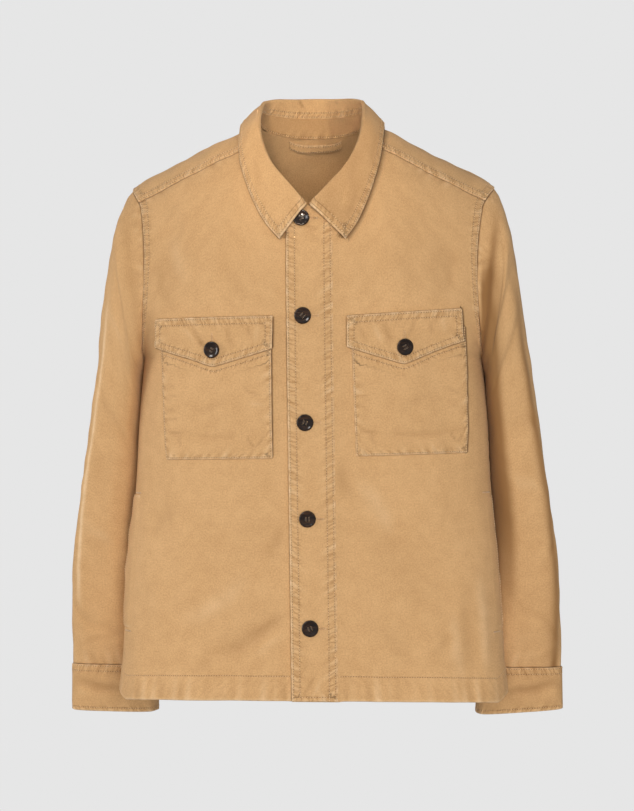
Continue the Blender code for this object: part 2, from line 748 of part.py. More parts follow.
def rounded(share):
    """A cosine or sine of a turn, for an oval with fuller corners."""
    return math.copysign(abs(share) ** (2 / SLEEVE_POWER), share)


def underarm(turn):
    """1 at the lowest part of the armhole seam, 0 over the rest of it."""
    return soft_step((-math.cos(turn) - UNDERARM_START) / UNDERARM_BLEND)


def sleeve_ring(row, turns):
    """One ring of the sleeve, at the turns of the armhole loop (0 outside, 90 front)."""
    slant = math.radians(row.slant)
    spread = SLEEVE_POWER / (SLEEVE_POWER - 1)
    lean = row.half_depth * row.front_share * math.sin(slant)
    reach = (row.half_width ** spread + lean ** spread) ** (1 / spread)
    middle = np.array((row.outer_x - reach, row.centre_y, (row.outer_z + row.inner_z) / 2))
    out = np.array((row.half_width, 0.0, (row.outer_z - row.inner_z) / 2))
    ahead = row.half_depth * np.array((math.sin(slant), -math.cos(slant), 0.0))
    ring = []
    for turn in turns:
        depth = row.front_share if math.sin(turn) > 0 else 1.0
        ring.append(middle + out * rounded(math.cos(turn)) + ahead * depth * rounded(math.sin(turn)))
    return np.array(ring)


def sleeve_fold_depth(turn, along):
    total = 0.0
    for fold in SLEEVE_FOLDS:
        aside = math.degrees(turn) - fold.angle
        aside = (aside + 180) % 360 - 180
        bend = fold.along + aside / 360 * math.tan(math.radians(fold.turn)) * SLEEVE_FOLD_BEND
        across = (along - bend) / fold.spread
        total += fold.depth * math.exp(-across ** 2) * math.exp(-(aside / fold.length) ** 2)
    return total


def between_rows(rows, steps):
    """Rings between the given rings, on smooth curves through their points."""
    padded = [2 * rows[0] - rows[1]] + list(rows) + [2 * rows[-1] - rows[-2]]
    result = []
    for index in range(1, len(padded) - 2):
        before, first, second, after = padded[index - 1:index + 3]
        for step in range(steps):
            share = step / steps
            result.append(0.5 * (
                2 * first
                + (second - before) * share
                + (2 * before - 5 * first + 4 * second - after) * share ** 2
                + (3 * first - before - 3 * second + after) * share ** 3))
    result.append(rows[-1])
    return result


def make_sleeve(hand, word, loop, material, parent):
    loop_points, loop_normals = loop
    top = loop_points[:, 2].max()
    bottom = loop_points[:, 2].min()
    middle = (top + bottom) / 2
    half = (top - bottom) / 2
    turns = []
    starts = []
    for point, normal in zip(loop_points, loop_normals):
        turn = math.acos(min(max((point[2] - middle) / half, -1.0), 1.0))
        turns.append(turn if point[1] <= 0 else 2 * math.pi - turn)
        low = underarm(turn)
        aside = np.array((1.0, 0.0, 0.0))
        aside = mix(unit(aside - normal * normal[0] * (1 - low)), aside, low)
        starts.append(point + aside * (SEAM_GAP + (CLOTH + SEAM_GAP) * low))
    rings = [np.array(starts)] + [sleeve_ring(row, turns) for row in SLEEVE_RINGS]
    rings = np.array(between_rows(rings, SLEEVE_STEPS_BETWEEN_RINGS))
    centres = rings.mean(axis=1, keepdims=True)
    normals = grid_normals(rings, True, centres)
    count = len(rings)
    for index in range(count):
        along = index / (count - 1)
        fade = soft_step(along / SLEEVE_FOLD_END) * soft_step((1 - along) / SLEEVE_FOLD_END)
        for at, turn in enumerate(turns):
            rings[index, at] += normals[index, at] * sleeve_fold_depth(turn, along) * fade
    for at, turn in enumerate(turns):
        low = underarm(turn)
        normals[0, at] = unit(mix(loop_normals[at], normals[0, at], low))
    mirror = np.array((hand, 1.0, 1.0))
    add_wall("sleeve_" + word, rings * mirror, normals * mirror, CLOTH, material, parent, True)

    cuff_rows = []
    for step in range(CUFF_ROWS + 1):
        share = step / CUFF_ROWS
        row = SleeveRing(*[
            mix(first, last, share) for first, last in zip(SLEEVE_RINGS[-1], CUFF_BOTTOM_RING)])
        cuff_rows.append(sleeve_ring(row, turns))
    cuff = np.array(cuff_rows)
    cuff_normals = grid_normals(cuff, True, cuff.mean(axis=1, keepdims=True))
    cuff[0] -= (0.0, 0.0, 2 * SEAM_GAP)
    cuff = cuff + cuff_normals * CUFF_PROUD
    add_wall("cuff_" + word, cuff * mirror, cuff_normals * mirror, DOUBLE_CLOTH, material, parent, True)
    return turns, rings, normals, cuff, cuff_normals


def along_ring(turns, ring, angle):
    """A point of a ring at an angle, between its own points."""
    turn = math.radians(angle)
    for first in range(len(turns)):
        second = (first + 1) % len(turns)
        start = min(turns[first], turns[second])
        end = max(turns[first], turns[second])
        if end - start < math.pi and start <= turn <= end:
            share = (turn - turns[first]) / (turns[second] - turns[first])
            return mix(ring[first], ring[second], share)
    return ring[0]


def make_vent(hand, word, sleeve, material, parent):
    turns, rings, normals, _, _ = sleeve
    first_ring = int(VENT_TOP_SHARE * (len(rings) - 1))
    points = []
    outward = []
    for index in range(first_ring, len(rings)):
        row = []
        row_normals = []
        for step in range(VENT_COLUMNS + 1):
            angle = mix(VENT_FIRST_ANGLE, VENT_LAST_ANGLE, step / VENT_COLUMNS)
            normal = unit(along_ring(turns, normals[index], angle))
            row.append(along_ring(turns, rings[index], angle) + normal * VENT_LIFT)
            row_normals.append(normal)
        points.append(row)
        outward.append(row_normals)
    mirror = np.array((hand, 1.0, 1.0))
    add_wall("vent_" + word, np.array(points) * mirror, np.array(outward) * mirror,
             STRIP_CLOTH, material, parent)


def collar_lines():
    """Seam, roll and outer edge of the collar at each station, from one front end round to the other."""
    half = []
    for row in COLLAR_STATIONS:
        seam, _ = lay(row.seam_x, row.seam_z, row.seam_side)
        inward = np.array((seam[0], seam[1], 0.0))
        inward = -inward / max(np.linalg.norm(inward), 1e-6)
        base = seam + inward * row.inset
        roll = base + inward * row.lean + np.array((0.0, 0.0, row.rise))
        edge, _ = lay(row.edge_x, row.edge_z, row.edge_side, row.edge_lift)
        half.append(np.array((base, roll, edge)))
    mirror = np.array((-1.0, 1.0, 1.0))
    other = [station * mirror for station in half]
    for place, weight in enumerate(TIP_WEIGHTS):
        half[place][2, 0] += LEFT_TIP_ASIDE * weight
        other[place][2, 0] += RIGHT_TIP_ASIDE * weight
    return half + other[-2::-1]


def leaf_section(base, roll, edge):
    """Leaf from the stand up to the roll, over it, and down to the outer edge."""
    halfway = mix(roll, edge, 0.5)
    outward = unit(np.array((halfway[0], halfway[1] - NECK_CENTRE_Y, 0.0)))
    up = np.array((0.0, 0.0, 1.0))
    over = roll + outward * ROLL_RADIUS * 2
    section = [
        mix(base, roll, STAND_SHARE) + unit(roll - base) * 2 * SEAM_GAP,
        mix(base, roll, ROLL_FOOT_SHARE),
        roll,
        roll + outward * ROLL_RADIUS + up * ROLL_RADIUS * ROLL_CROWN,
        over - up * ROLL_FALL,
    ]
    for share in LEAF_SHARES:
        bulge = LEAF_BULGE * math.sin(math.pi * share)
        section.append(mix(over, edge, share) + outward * bulge)
    return section


def make_collar(material, parent):
    stations = between_rows(collar_lines(), STEPS_BETWEEN_STATIONS)
    leaf = np.array([leaf_section(*station) for station in stations])
    normals = grid_normals(leaf, False)
    middle = len(leaf) // 2
    if normals[middle, -2][1] < 0:
        normals = -normals
    add_wall("collar_leaf", leaf, normals, CLOTH, material, parent)
    skip = STAND_FIRST_STATION * STEPS_BETWEEN_STATIONS
    stand = []
    for base, roll, _ in stations[skip:len(stations) - skip]:
        stand.append([mix(base, roll, share) for share in (0.0, STAND_SHARE / 2, STAND_SHARE)])
    stand = np.array(stand)
    stand_normals = grid_normals(stand, False)
    if stand_normals[len(stand) // 2, 1][1] > 0:
        stand_normals = -stand_normals
    add_wall("collar_stand", stand, stand_normals, CLOTH, material, parent)


def make_hanger_loop(material, parent):
    """Narrow strip on the inside of the back yoke, under the neck seam."""
    middle_top = COLLAR_STATIONS[-1].seam_z - LOOP_TOP_DROP
    laid = []
    for step in range(LOOP_STEPS + 1):
        share = 2 * step / LOOP_STEPS - 1
        top = middle_top + LOOP_END_RISE * abs(share) ** LOOP_END_POWER
        row = []
        for height in (top, top - LOOP_WIDTH):
            row.append(lay(share * LOOP_HALF_LENGTH, height, BACK, -CLOTH - PATCH_GAP))
        laid.append(row)
    add_wall("hanger_loop", *sheet(laid), STRIP_CLOTH, material, parent)


def make_pocket(pocket, material, parent):
    laid = []
    for row_index in range(PATCH_ROWS + 1):
        up = row_index / PATCH_ROWS
        row = []
        for step in range(PATCH_COLUMNS + 1):
            across = step / PATCH_COLUMNS
            bottom_x = mix(pocket.bottom_inner_x, pocket.bottom_outer_x, across)
            bottom_z = mix(pocket.bottom_inner_z, pocket.bottom_outer_z, across)
            top_x = mix(pocket.top_inner_x, pocket.top_outer_x, across)
            x = mix(bottom_x, top_x, up)
            z = mix(bottom_z, POCKET_TOP, up)
            row.append(lay(pocket.hand * x, z, FRONT, PATCH_GAP + STRIP_CLOTH))
        laid.append(row)
    add_wall("pocket_" + pocket.word, *sheet(laid), STRIP_CLOTH, material, parent)


def flap_top_at(flap, share):
    return mix(flap.inner_top, flap.outer_top, share)


def flap_height_at(flap, share):
    """Height of the flap from its top to its pointed lower edge."""
    side = flap.inner_height if share < 0.5 else flap.outer_height
    return mix(flap.point_height, side, abs(share - 0.5) * 2)


def make_flap(flap, material, parent):
    laid = []
    for row_index in range(FLAP_ROWS + 1):
        row = []
        for step in range(PATCH_COLUMNS + 1):
            share = step / PATCH_COLUMNS
            x = mix(flap.inner_x, flap.outer_x, share)
            z = flap_top_at(flap, share) - flap_height_at(flap, share) * row_index / FLAP_ROWS
            row.append(lay(flap.hand * x, z, FRONT, FLAP_LIFT))
        laid.append(row)
    add_wall("flap_" + flap.word, *sheet(laid), CLOTH, material, parent)


def make_welt(hand, word, material, parent):
    """Lip of the side pocket, along the side seam on the front panel."""
    laid = []
    for row_index in range(WELT_ROWS + 1):
        share = row_index / WELT_ROWS
        z = mix(WELT_BOTTOM, WELT_TOP, share)
        row = []
        for step in range(WELT_COLUMNS + 1):
            across = step / WELT_COLUMNS
            angle = math.radians(90 - WELT_WIDTH_ANGLE * (1 - across))
            x = edge_width(z) * math.sin(angle) ** (2 / PLAN_POWER)
            lip = WELT_LIP * math.sin(math.pi * share) * across ** 2
            row.append(lay(hand * x, z, FRONT, LAY_GAP + STRIP_CLOTH + lip))
        laid.append(row)
    add_wall("welt_" + word, *sheet(laid), STRIP_CLOTH, material, parent)


def add_button(name, place, normal, material, parent):
    """A turned button with a raised rim, standing on its place."""
    side = unit(np.cross(normal, (0.0, 0.0, 1.0)))
    up = np.cross(side, normal)
    vertices = []
    for ring in BUTTON_PROFILE:
        for step in range(BUTTON_SIDES):
            turn = 2 * math.pi * step / BUTTON_SIDES
            around = side * math.cos(turn) + up * math.sin(turn)
            vertices.append(place + normal * ring.height + around * (BUTTON_RADIUS - ring.inset))
    faces = []
    for index in range(len(BUTTON_PROFILE) - 1):
        for step in range(BUTTON_SIDES):
            after = (step + 1) % BUTTON_SIDES
            low = index * BUTTON_SIDES
            high = low + BUTTON_SIDES
            faces.append((low + step, low + after, high + after, high + step))
    top = (len(BUTTON_PROFILE) - 1) * BUTTON_SIDES
    faces.append(tuple(range(BUTTON_SIDES - 1, -1, -1)))
    faces.append(tuple(range(top, top + BUTTON_SIDES)))
    turned = np.dot(np.cross(side, up), normal)
    if turned < 0:
        faces = [tuple(reversed(face)) for face in faces]
    mesh = bpy.data.meshes.new(name)
    mesh.from_pydata([tuple(vertex) for vertex in vertices], [], faces)
    finish_object(name, mesh, material, parent)


def make_buttons(material, parent, sleeves):
    on_band = LAP_RAISE + LAY_GAP + STRIP_CLOTH + LAY_GAP
    for index, z in enumerate(FRONT_BUTTON_HEIGHTS, start=1):
        place, normal = button_place(z, on_band)
        add_button("button_front_" + str(index), place, normal, material, parent)
    for flap in FLAPS:
        x = flap.hand * (flap.inner_x + flap.outer_x) / 2
        z = flap_top_at(flap, 0.5) - flap.point_height + FLAP_BUTTON_ABOVE_POINT
        place, normal = lay(x, z, FRONT, FLAP_LIFT + LAY_GAP)
        add_button("button_flap_" + flap.word, place, normal, material, parent)
    for hand, word in ((1, "left"), (-1, "right")):
        turns, _, _, cuff, cuff_normals = sleeves[word]
        mirror = np.array((hand, 1.0, 1.0))
        normal = unit(along_ring(turns, cuff_normals[1], CUFF_BUTTON_ANGLE)) * mirror
        place = along_ring(turns, (cuff[1] + cuff[2]) / 2, CUFF_BUTTON_ANGLE) * mirror
        add_button("button_cuff_" + word, place + normal * 2 * LAY_GAP, normal, material, parent)


def main():
    for old in list(bpy.data.objects):
        bpy.data.objects.remove(old, do_unlink=True)
    twill = make_material("tan_twill", TWILL_COLOUR, TWILL_ROUGHNESS)
    button = make_material("dark_button", BUTTON_COLOUR, BUTTON_ROUGHNESS)
    garment = bpy.data.objects.new("overshirt", None)
    bpy.context.scene.collection.objects.link(garment)

    left_front = make_fronts(twill, garment)
    back = make_back(twill, garment)
    yoke_edge = make_yoke(twill, garment)
    make_band(twill, garment)
    loop = armhole_loop(left_front, yoke_edge, back)
    sleeves = {}
    for hand, word in ((1, "left"), (-1, "right")):
        sleeves[word] = make_sleeve(hand, word, loop, twill, garment)
        make_vent(hand, word, sleeves[word], twill, garment)
        make_welt(hand, word, twill, garment)
    for pocket in POCKETS:
        make_pocket(pocket, twill, garment)
    for flap in FLAPS:
        make_flap(flap, twill, garment)
    make_collar(twill, garment)
    make_hanger_loop(twill, garment)
    make_buttons(button, garment, sleeves)


main()
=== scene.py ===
import math

import bpy
import numpy as np
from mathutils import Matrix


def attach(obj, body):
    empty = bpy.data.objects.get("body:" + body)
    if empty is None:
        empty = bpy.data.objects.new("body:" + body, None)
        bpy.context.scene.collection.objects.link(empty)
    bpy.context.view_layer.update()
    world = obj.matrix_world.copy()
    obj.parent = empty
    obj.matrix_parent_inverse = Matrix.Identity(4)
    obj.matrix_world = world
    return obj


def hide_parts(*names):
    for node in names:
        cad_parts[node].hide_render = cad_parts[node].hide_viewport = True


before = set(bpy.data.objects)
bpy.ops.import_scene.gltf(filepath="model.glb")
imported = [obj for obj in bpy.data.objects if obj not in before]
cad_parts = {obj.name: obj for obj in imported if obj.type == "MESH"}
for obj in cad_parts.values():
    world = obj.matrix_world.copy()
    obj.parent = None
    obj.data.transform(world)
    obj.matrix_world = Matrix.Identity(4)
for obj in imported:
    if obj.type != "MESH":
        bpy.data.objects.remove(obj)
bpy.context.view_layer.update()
front, back = 1, -1
bothSides = (("left", 1), ("right", -1))
norm, scene = np.linalg.norm, bpy.context.scene
print("frame loaded")

# sizes of the body's form, in metres, +Z up, front towards -Y
form = {
    "hem": -0.693, "armpit": -0.279, "chest": -0.2, "backYoke": -0.115, "neckFront": -0.097,
    "ridgeNeckWidth": 0.0905, "ridgeNeckHeight": 0.006, "ridgeFall": 0.5055, "ridgeRounding": 0.02,
    "ridgeMargin": 0.00002, "shoulderTip": 0.2265, "yokeDrop": 0.029,
    "planPower": 2.2, "shoulderPower": 1.8,
    "armholeFrontDepth": 0.066, "armholeBackDepth": 0.07, "armholeFullHeight": -0.19,
    "bandTop": -0.0263, "bandHem": -0.0188, "bandWidth": 0.055, "buttonInsetTop": 0.018, "buttonInsetHem": 0.0242,
    "hemDip": 0.0137, "hemDipTop": -0.62, "hemCorner": 0.945, "foldFade": 0.03,
}
cloth = {
    "single": 0.0015, "double": 0.0022, "strip": 0.0012,
    "seamGap": 0.0003, "layGap": 0.0005, "patchGap": 0.001, "lapRaise": 0.0025,
}
# height, half width
bodyWidths = np.array([
    (-0.693, 0.2425), (-0.664, 0.2395), (-0.61, 0.236), (-0.535, 0.23),
    (-0.469, 0.224), (-0.41, 0.22), (-0.365, 0.218), (-0.279, 0.211),
])
armholeWidths = np.array([
    (-0.279, 0.211), (-0.22, 0.2045), (-0.165, 0.203), (-0.095, 0.2095), (-0.066, 0.2265),
])
# height, front depth, back depth
bodyDepths = np.array([
    (-0.693, 0.104, 0.084), (-0.56, 0.106, 0.085), (-0.43, 0.109, 0.089), (-0.279, 0.112, 0.102),
    (-0.19, 0.11, 0.108), (-0.09, 0.107, 0.114), (0.04, 0.105, 0.118),
])
# half width, height
neckline = np.array([
    (0.0, -0.097), (0.025, -0.086), (0.05, -0.061), (0.066, -0.033), (0.0705, -0.0143),
])
# large folds, then small creases, in millimetres: start x, start z, end x, end z, bow, spread, depth
bodyFolds = {
    front: [
        (-125, -652, -15, -580, 0, 20, -5), (-60, -535, -20, -470, 0, 18, -3.5),
        (-188, -125, -165, -225, 0, 18, -3.5), (180, -120, 160, -215, 0, 18, -3), (75, -470, 175, -590, 0, 24, -4),
    ],
    back: [
        (-150, -150, -110, -330, 0, 24, -4.5), (150, -155, 115, -320, 0, 24, -4.5),
        (-160, -560, -30, -470, 0, 24, -4.5), (150, -600, 45, -500, 0, 22, -4),
    ],
}
bodyCreases = {
    front: [
        (-110, -640, -40, -598, 4, 7, -1.2), (-150, -600, -75, -545, 6, 10, 1), (-195, -500, -150, -455, -4, 8, -1),
        (-185, -160, -172, -215, 3, 6, -1), (-165, -130, -150, -190, 4, 9, 0.9), (40, -405, 55, -450, 4, 7, -1.4),
        (60, -430, 100, -500, -6, 10, 1.1), (190, -560, 200, -660, 4, 7, -1.6), (205, -545, 214, -665, -3, 6, 1.4),
        (176, -585, 186, -668, 3, 8, 1.2), (172, -140, 165, -205, -3, 6, -1), (120, -640, 60, -590, 5, 11, -1),
        (-78, -618, -24, -586, 2, 5, -1), (-66, -640, -26, -612, -2, 6, 0.8), (-52, -520, -28, -478, 2, 6, -1),
        (-150, -665, -118, -645, 2, 6, -0.9), (150, -640, 176, -610, 2, 7, -0.9),
        (-110, -150, -60, -215, 8, 14, -0.6), (90, -150, 150, -190, 6, 13, -0.6),
    ],
    back: [
        (-170, -320, -90, -250, 8, 12, -1.4), (175, -330, 100, -265, -6, 11, -1.3),
        (-60, -440, 50, -420, 10, 14, -1.4), (-100, -620, -60, -520, 6, 10, 1.1), (90, -650, 110, -560, -6, 10, -1.2),
    ],
}


def softStep(value):
    value = np.clip(value, 0.0, 1.0)
    return value * value * (3 - 2 * value)


def mix(first, second, share):
    return first + (second - first) * share


def unit(vectors):
    return vectors / np.maximum(norm(vectors, axis=-1, keepdims=True), 1e-12)


# smooth curve through rows of a table, with no overshoot
def smoothCurve(keys, values, at):
    keys = np.asarray(keys, float)
    values = np.asarray(values, float)
    steps = np.diff(keys)
    slopes = np.diff(values) / steps
    product = slopes[:-1] * slopes[1:]
    total = np.where(product > 0, slopes[:-1] + slopes[1:], 1.0)
    inner = np.where(product > 0, 2 * product / total, 0.0)
    tangents = np.concatenate((slopes[:1], inner, slopes[-1:]))
    at = np.clip(at, keys[0], keys[-1])
    row = np.clip(np.searchsorted(keys, at) - 1, 0, len(keys) - 2)
    share = (at - keys[row]) / steps[row]
    square = share * share
    cube = square * share
    return ((2 * cube - 3 * square + 1) * values[row]
            + (cube - 2 * square + share) * steps[row] * tangents[row]
            + (3 * square - 2 * cube) * values[row + 1]
            + (cube - square) * steps[row] * tangents[row + 1])


def ridgeHeight(x):
    return form["ridgeNeckHeight"] + form["ridgeFall"] * (
        form["ridgeNeckWidth"] - np.sqrt(x * x + form["ridgeRounding"] ** 2))


def bodyDepth(z, side):
    return smoothCurve(bodyDepths[:, 0], bodyDepths[:, 1 if side == front else 2], z)


# side seam, and above the armpit the armhole seam
def edgeWidth(z):
    below = smoothCurve(bodyWidths[:, 0], bodyWidths[:, 1], z)
    above = smoothCurve(armholeWidths[:, 0], armholeWidths[:, 1], z)
    return np.where(z <= form["armpit"], below, above)


def planWidth(z, side):
    full = form["armholeFrontDepth"] if side == front else form["armholeBackDepth"]
    under = form["armholeFullHeight"]
    below = np.maximum(under - z, 0.0) / (under - form["armpit"])
    edgeDepth = full * np.sqrt(np.maximum(1 - below * below, 0.0))
    share = (edgeDepth / bodyDepth(z, side)) ** form["planPower"]
    wide = edgeWidth(z) / (1 - share) ** (1 / form["planPower"])
    return np.where(z <= form["armpit"], edgeWidth(z), wide)


def fullness(x, z, side):
    power, over = form["planPower"], form["shoulderPower"]
    across = np.maximum(1 - (np.abs(x) / planWidth(z, side)) ** power, 0.0) ** (1 / power)
    rise = np.maximum((z - form["chest"]) / (ridgeHeight(x) - form["chest"]), 0.0)
    return across * np.maximum(1 - rise ** over, 0.0) ** (1 / over)


def bodyNormal(x, z, side):
    step = 0.0002

    def square(atX, atZ):
        return (bodyDepth(atZ, side) * fullness(atX, atZ, side)) ** 2

    y = -side * np.sqrt(square(x, z))
    slopeX = (square(x + step, z) - square(x - step, z)) / (2 * step)
    slopeZ = (square(x, z + step) - square(x, z - step)) / (2 * step)
    return unit(np.stack((-slopeX, 2 * y, -slopeZ), axis=-1))


def bandEdge(z):
    share = (z - form["neckFront"]) / (form["hem"] - form["neckFront"])
    return mix(form["bandTop"], form["bandHem"], share)


# the front hem hangs lower towards the sides and rounds up into the side seams
def hemDip(x, z):
    out = np.minimum(np.abs(x) / edgeWidth(np.array(form["hem"])), 1.0)
    fall = form["hemDip"] * (1 - (1 - out ** form["planPower"]) ** (1 / form["planPower"]))
    corner = 1 - softStep((out - form["hemCorner"]) / (1 - form["hemCorner"]))
    return fall * corner * softStep((form["hemDipTop"] - z) / (form["hemDipTop"] - form["hem"]))


# sum of creases, in the unit of the last value of each row
def troughs(x, z, rows):
    total = np.zeros(np.shape(x))
    for row in rows:
        startX, startZ, endX, endZ, bow, spread = np.array(row[:6]) / 1000
        runX, runZ = endX - startX, endZ - startZ
        length = math.hypot(runX, runZ)
        along = ((x - startX) * runX + (z - startZ) * runZ) / length ** 2
        aside = ((x - startX) * runZ - (z - startZ) * runX) / length
        aside = aside - bow * 4 * along * (1 - along)
        taper = softStep(1.3 - np.abs(along - 0.5) * 2)
        total += row[6] * taper * np.exp(-(aside / spread) ** 2)
    return total


# slow, uneven waviness of hanging cloth: a few long waves in random directions
def unevenness(x, z, seed):
    random = np.random.default_rng(seed)
    total = np.zeros(np.shape(x))
    for length, height in ((0.12, 0.0012), (0.074, 0.001), (0.046, 0.0007), (0.031, 0.0004)):
        turn = random.uniform(0, math.pi)
        wave = (x * math.cos(turn) + z * math.sin(turn)) / length
        swell = np.sin(2 * math.pi * (z * math.cos(turn) - x * math.sin(turn)) / (length * 2.3)
                       + random.uniform(0, 6.28))
        total += height * np.sin(2 * math.pi * wave + random.uniform(0, 6.28)) * (0.5 + 0.5 * swell)
    return total


def bodyRelief(x, z, side):
    fade = softStep((edgeWidth(z) - np.abs(x)) / form["foldFade"])
    if side == front:
        fromBand = np.abs(x - bandEdge(z) - form["bandWidth"] / 2) - form["bandWidth"] / 2
        fade = fade * softStep(fromBand / form["foldFade"])
    large = troughs(x, z, bodyFolds[side]) / 1000 * fade
    small = troughs(x, z, bodyCreases[side]) / 1000 * np.sqrt(fade)
    return large + small + unevenness(x, z, 11 if side == front else 12) * fade


# painted shade in the hollows of creases and folds, and paler ridges, beyond what their depth shows: partly abrasion of
# washed cloth, partly painted shade and painted highlight
creaseShadeLook = {"fade": 0.012, "folds": 0.016, "creases": 0.15}


def paintedCreaseShade(x, z, side):
    fade = softStep((edgeWidth(z) - np.abs(x)) / creaseShadeLook["fade"])
    return fade * (creaseShadeLook["folds"] * troughs(x, z, bodyFolds[side])
                   + creaseShadeLook["creases"] * troughs(x, z, bodyCreases[side]))


# a point on the body, moved out by a lift, and the direction outwards
def lay(x, z, side, lift=0.0):
    x, z = np.broadcast_arrays(np.asarray(x, float), np.asarray(z, float))
    z = np.minimum(z, ridgeHeight(x) - form["ridgeMargin"])
    y = -side * bodyDepth(z, side) * fullness(x, z, side)
    normals = bodyNormal(x, z, side)
    out = lift + bodyRelief(x, z, side)
    return np.stack((x, y, z), axis=-1) + normals * out[..., None], normals


# turn over the shoulder: 0 front chest, 90 ridge, 180 back
def heightOver(x, turn):
    rise = np.sin(np.radians(turn)) ** (2 / form["shoulderPower"])
    return form["chest"] + rise * (ridgeHeight(x) - form["chest"])


def turnOver(x, z, side):
    rise = np.clip((z - form["chest"]) / (ridgeHeight(x) - form["chest"]), 0.0, 1.0)
    turn = np.degrees(np.arcsin(rise ** (form["shoulderPower"] / 2)))
    return turn if side == front else 180 - turn


def layOver(x, turn, lift=0.0):
    z = heightOver(x, turn)
    ahead = lay(x, z, front, lift)
    behind = lay(x, z, back, lift)
    atFront = (turn < 90)[..., None]
    return np.where(atFront, ahead[0], behind[0]), np.where(atFront, ahead[1], behind[1])


def armholeWidthAtTurn(turn):
    x = np.full(np.shape(turn), form["shoulderTip"])
    for _ in range(60):
        x = mix(x, edgeWidth(heightOver(x, turn)), 0.3)
    return x


def armholeCrossing(fall):
    z = ridgeHeight(np.array(form["shoulderTip"]))
    for _ in range(60):
        z = mix(z, ridgeHeight(edgeWidth(z)) - fall, 0.3)
    return float(edgeWidth(z)), float(z)


# shares from 0 to 1, close together at a worked edge
def spacing(length, coarse, fineStart=True, fineEnd=True):
    def ramp(wanted):
        steps = []
        step = 0.0006
        while wanted and step < coarse:
            steps.append(step)
            step *= 1.45
        return steps

    first, last = ramp(fineStart), ramp(fineEnd)[::-1]
    middle = max(length - sum(first) - sum(last), coarse)
    count = max(int(round(middle / coarse)), 1)
    steps = first + [middle / count] * count + last
    places = np.concatenate(([0.0], np.cumsum(steps)))
    return places / places[-1]


def gridNormals(points, around):
    down = np.gradient(points, axis=0)
    if around:
        across = (np.roll(points, -1, axis=1) - np.roll(points, 1, axis=1)) / 2
    else:
        across = np.gradient(points, axis=1)
    return unit(np.cross(down, across))


def tubeNormals(rings):
    normals = gridNormals(rings, True)
    outward = np.sum(normals * (rings - rings.mean(axis=1, keepdims=True)))
    return -normals if outward < 0 else normals


# uneven puckers along a seam
def wobble(along, seed, pitch):
    random = np.random.default_rng(seed)
    total = np.zeros(np.shape(along))
    for factor, weight in ((1.0, 0.6), (1.37, 0.4), (1.93, 0.4), (3.1, 0.3)):
        total += weight * np.sin(2 * math.pi * along / (pitch * factor) + random.uniform(0, 6.28))
    swell = np.sin(2 * math.pi * along / (pitch * 8.7) + random.uniform(0, 6.28))
    return total * (0.65 + 0.35 * swell)


edgeLook = {"spanFade": 0.03, "raiseSlope": 0.0025, "wearReach": 0.0022, "blotchPitch": 0.016, "threadLift": 0.00014}
edgeAxes = {
    "firstRow": (0, False), "lastRow": (0, True),
    "firstColumn": (1, False), "lastColumn": (1, True),
}


# the wear attribute holds abrasion and painted highlights above zero, and painted shade below zero
def newPanel(name, points, normals, thickness, around=False):
    return {
        "name": name, "base": points, "points": points.copy(), "normals": normals,
        "relief": np.zeros(points.shape[:2]), "wearAndPaintedShading": np.zeros(points.shape[:2]),
        "marks": [], "paintedShadows": [], "thickness": thickness, "around": around,
    }


ropePitch = 0.0062


# seam data for the cloth material: place along, distance in, strength, and the rows of stitches
def markSeam(panel, along, distance, weight, look):
    rows = look["rows"]
    stretched = along * ropePitch / look.get("ropePitch", ropePitch) + 0.37 * look.get("seed", 1)
    strength = look.get("strength", np.clip(2 * weight - 1, 0.0, 1.0)) * look.get("rope", 1.0)
    mark = np.stack(np.broadcast_arrays(stretched, distance, strength), axis=-1)
    places = np.broadcast_to((rows[0], rows[-1], look.get("ropeReach", rows[-1] + 0.0014)), mark.shape)
    panel["marks"].append((np.where(weight > 0.5, np.abs(distance), 1.0), mark, places))


# each point belongs to the nearest seam, and where two are as near the marks fade out
def seamData(panel):
    away = np.broadcast_to((0.0, 1.0, 0.0), panel["base"].shape)
    plain = np.ones(panel["wearAndPaintedShading"].shape), away, np.ones(panel["base"].shape)
    marks = panel["marks"] + [plain, plain]
    near, seams, places = [np.stack(np.broadcast_arrays(*values)) for values in zip(*marks)]
    first = np.argmin(near, axis=0)[None]
    ordered = np.sort(near, axis=0)
    seam = np.take_along_axis(seams, first[..., None], 0)[0].copy()
    seam[..., 2] *= softStep((ordered[1] - ordered[0]) / 0.003)
    # painted shadows: each point takes the darkest painted shadow near it
    shadowPaint = np.stack(panel["paintedShadows"] + [np.broadcast_to((0.03, 0.01, 0.0), panel["base"].shape)])
    ratio = shadowPaint[..., 0] / shadowPaint[..., 1]
    nearness = np.clip(np.where(shadowPaint[..., 2] > 0.01, ratio, 4.0), 0.0, 4.0)
    nearness[-1] = 3.0
    shown = shadowPaint[..., 2] * (1 - softStep(ratio)) - 0.001 * nearness
    darkest = np.argmax(shown, axis=0)[None, ..., None]
    return {"seam": seam, "rowPlaces": np.take_along_axis(places, first[..., None], 0)[0],
            "paintedShadow": np.take_along_axis(shadowPaint, darkest, 0)[0]}


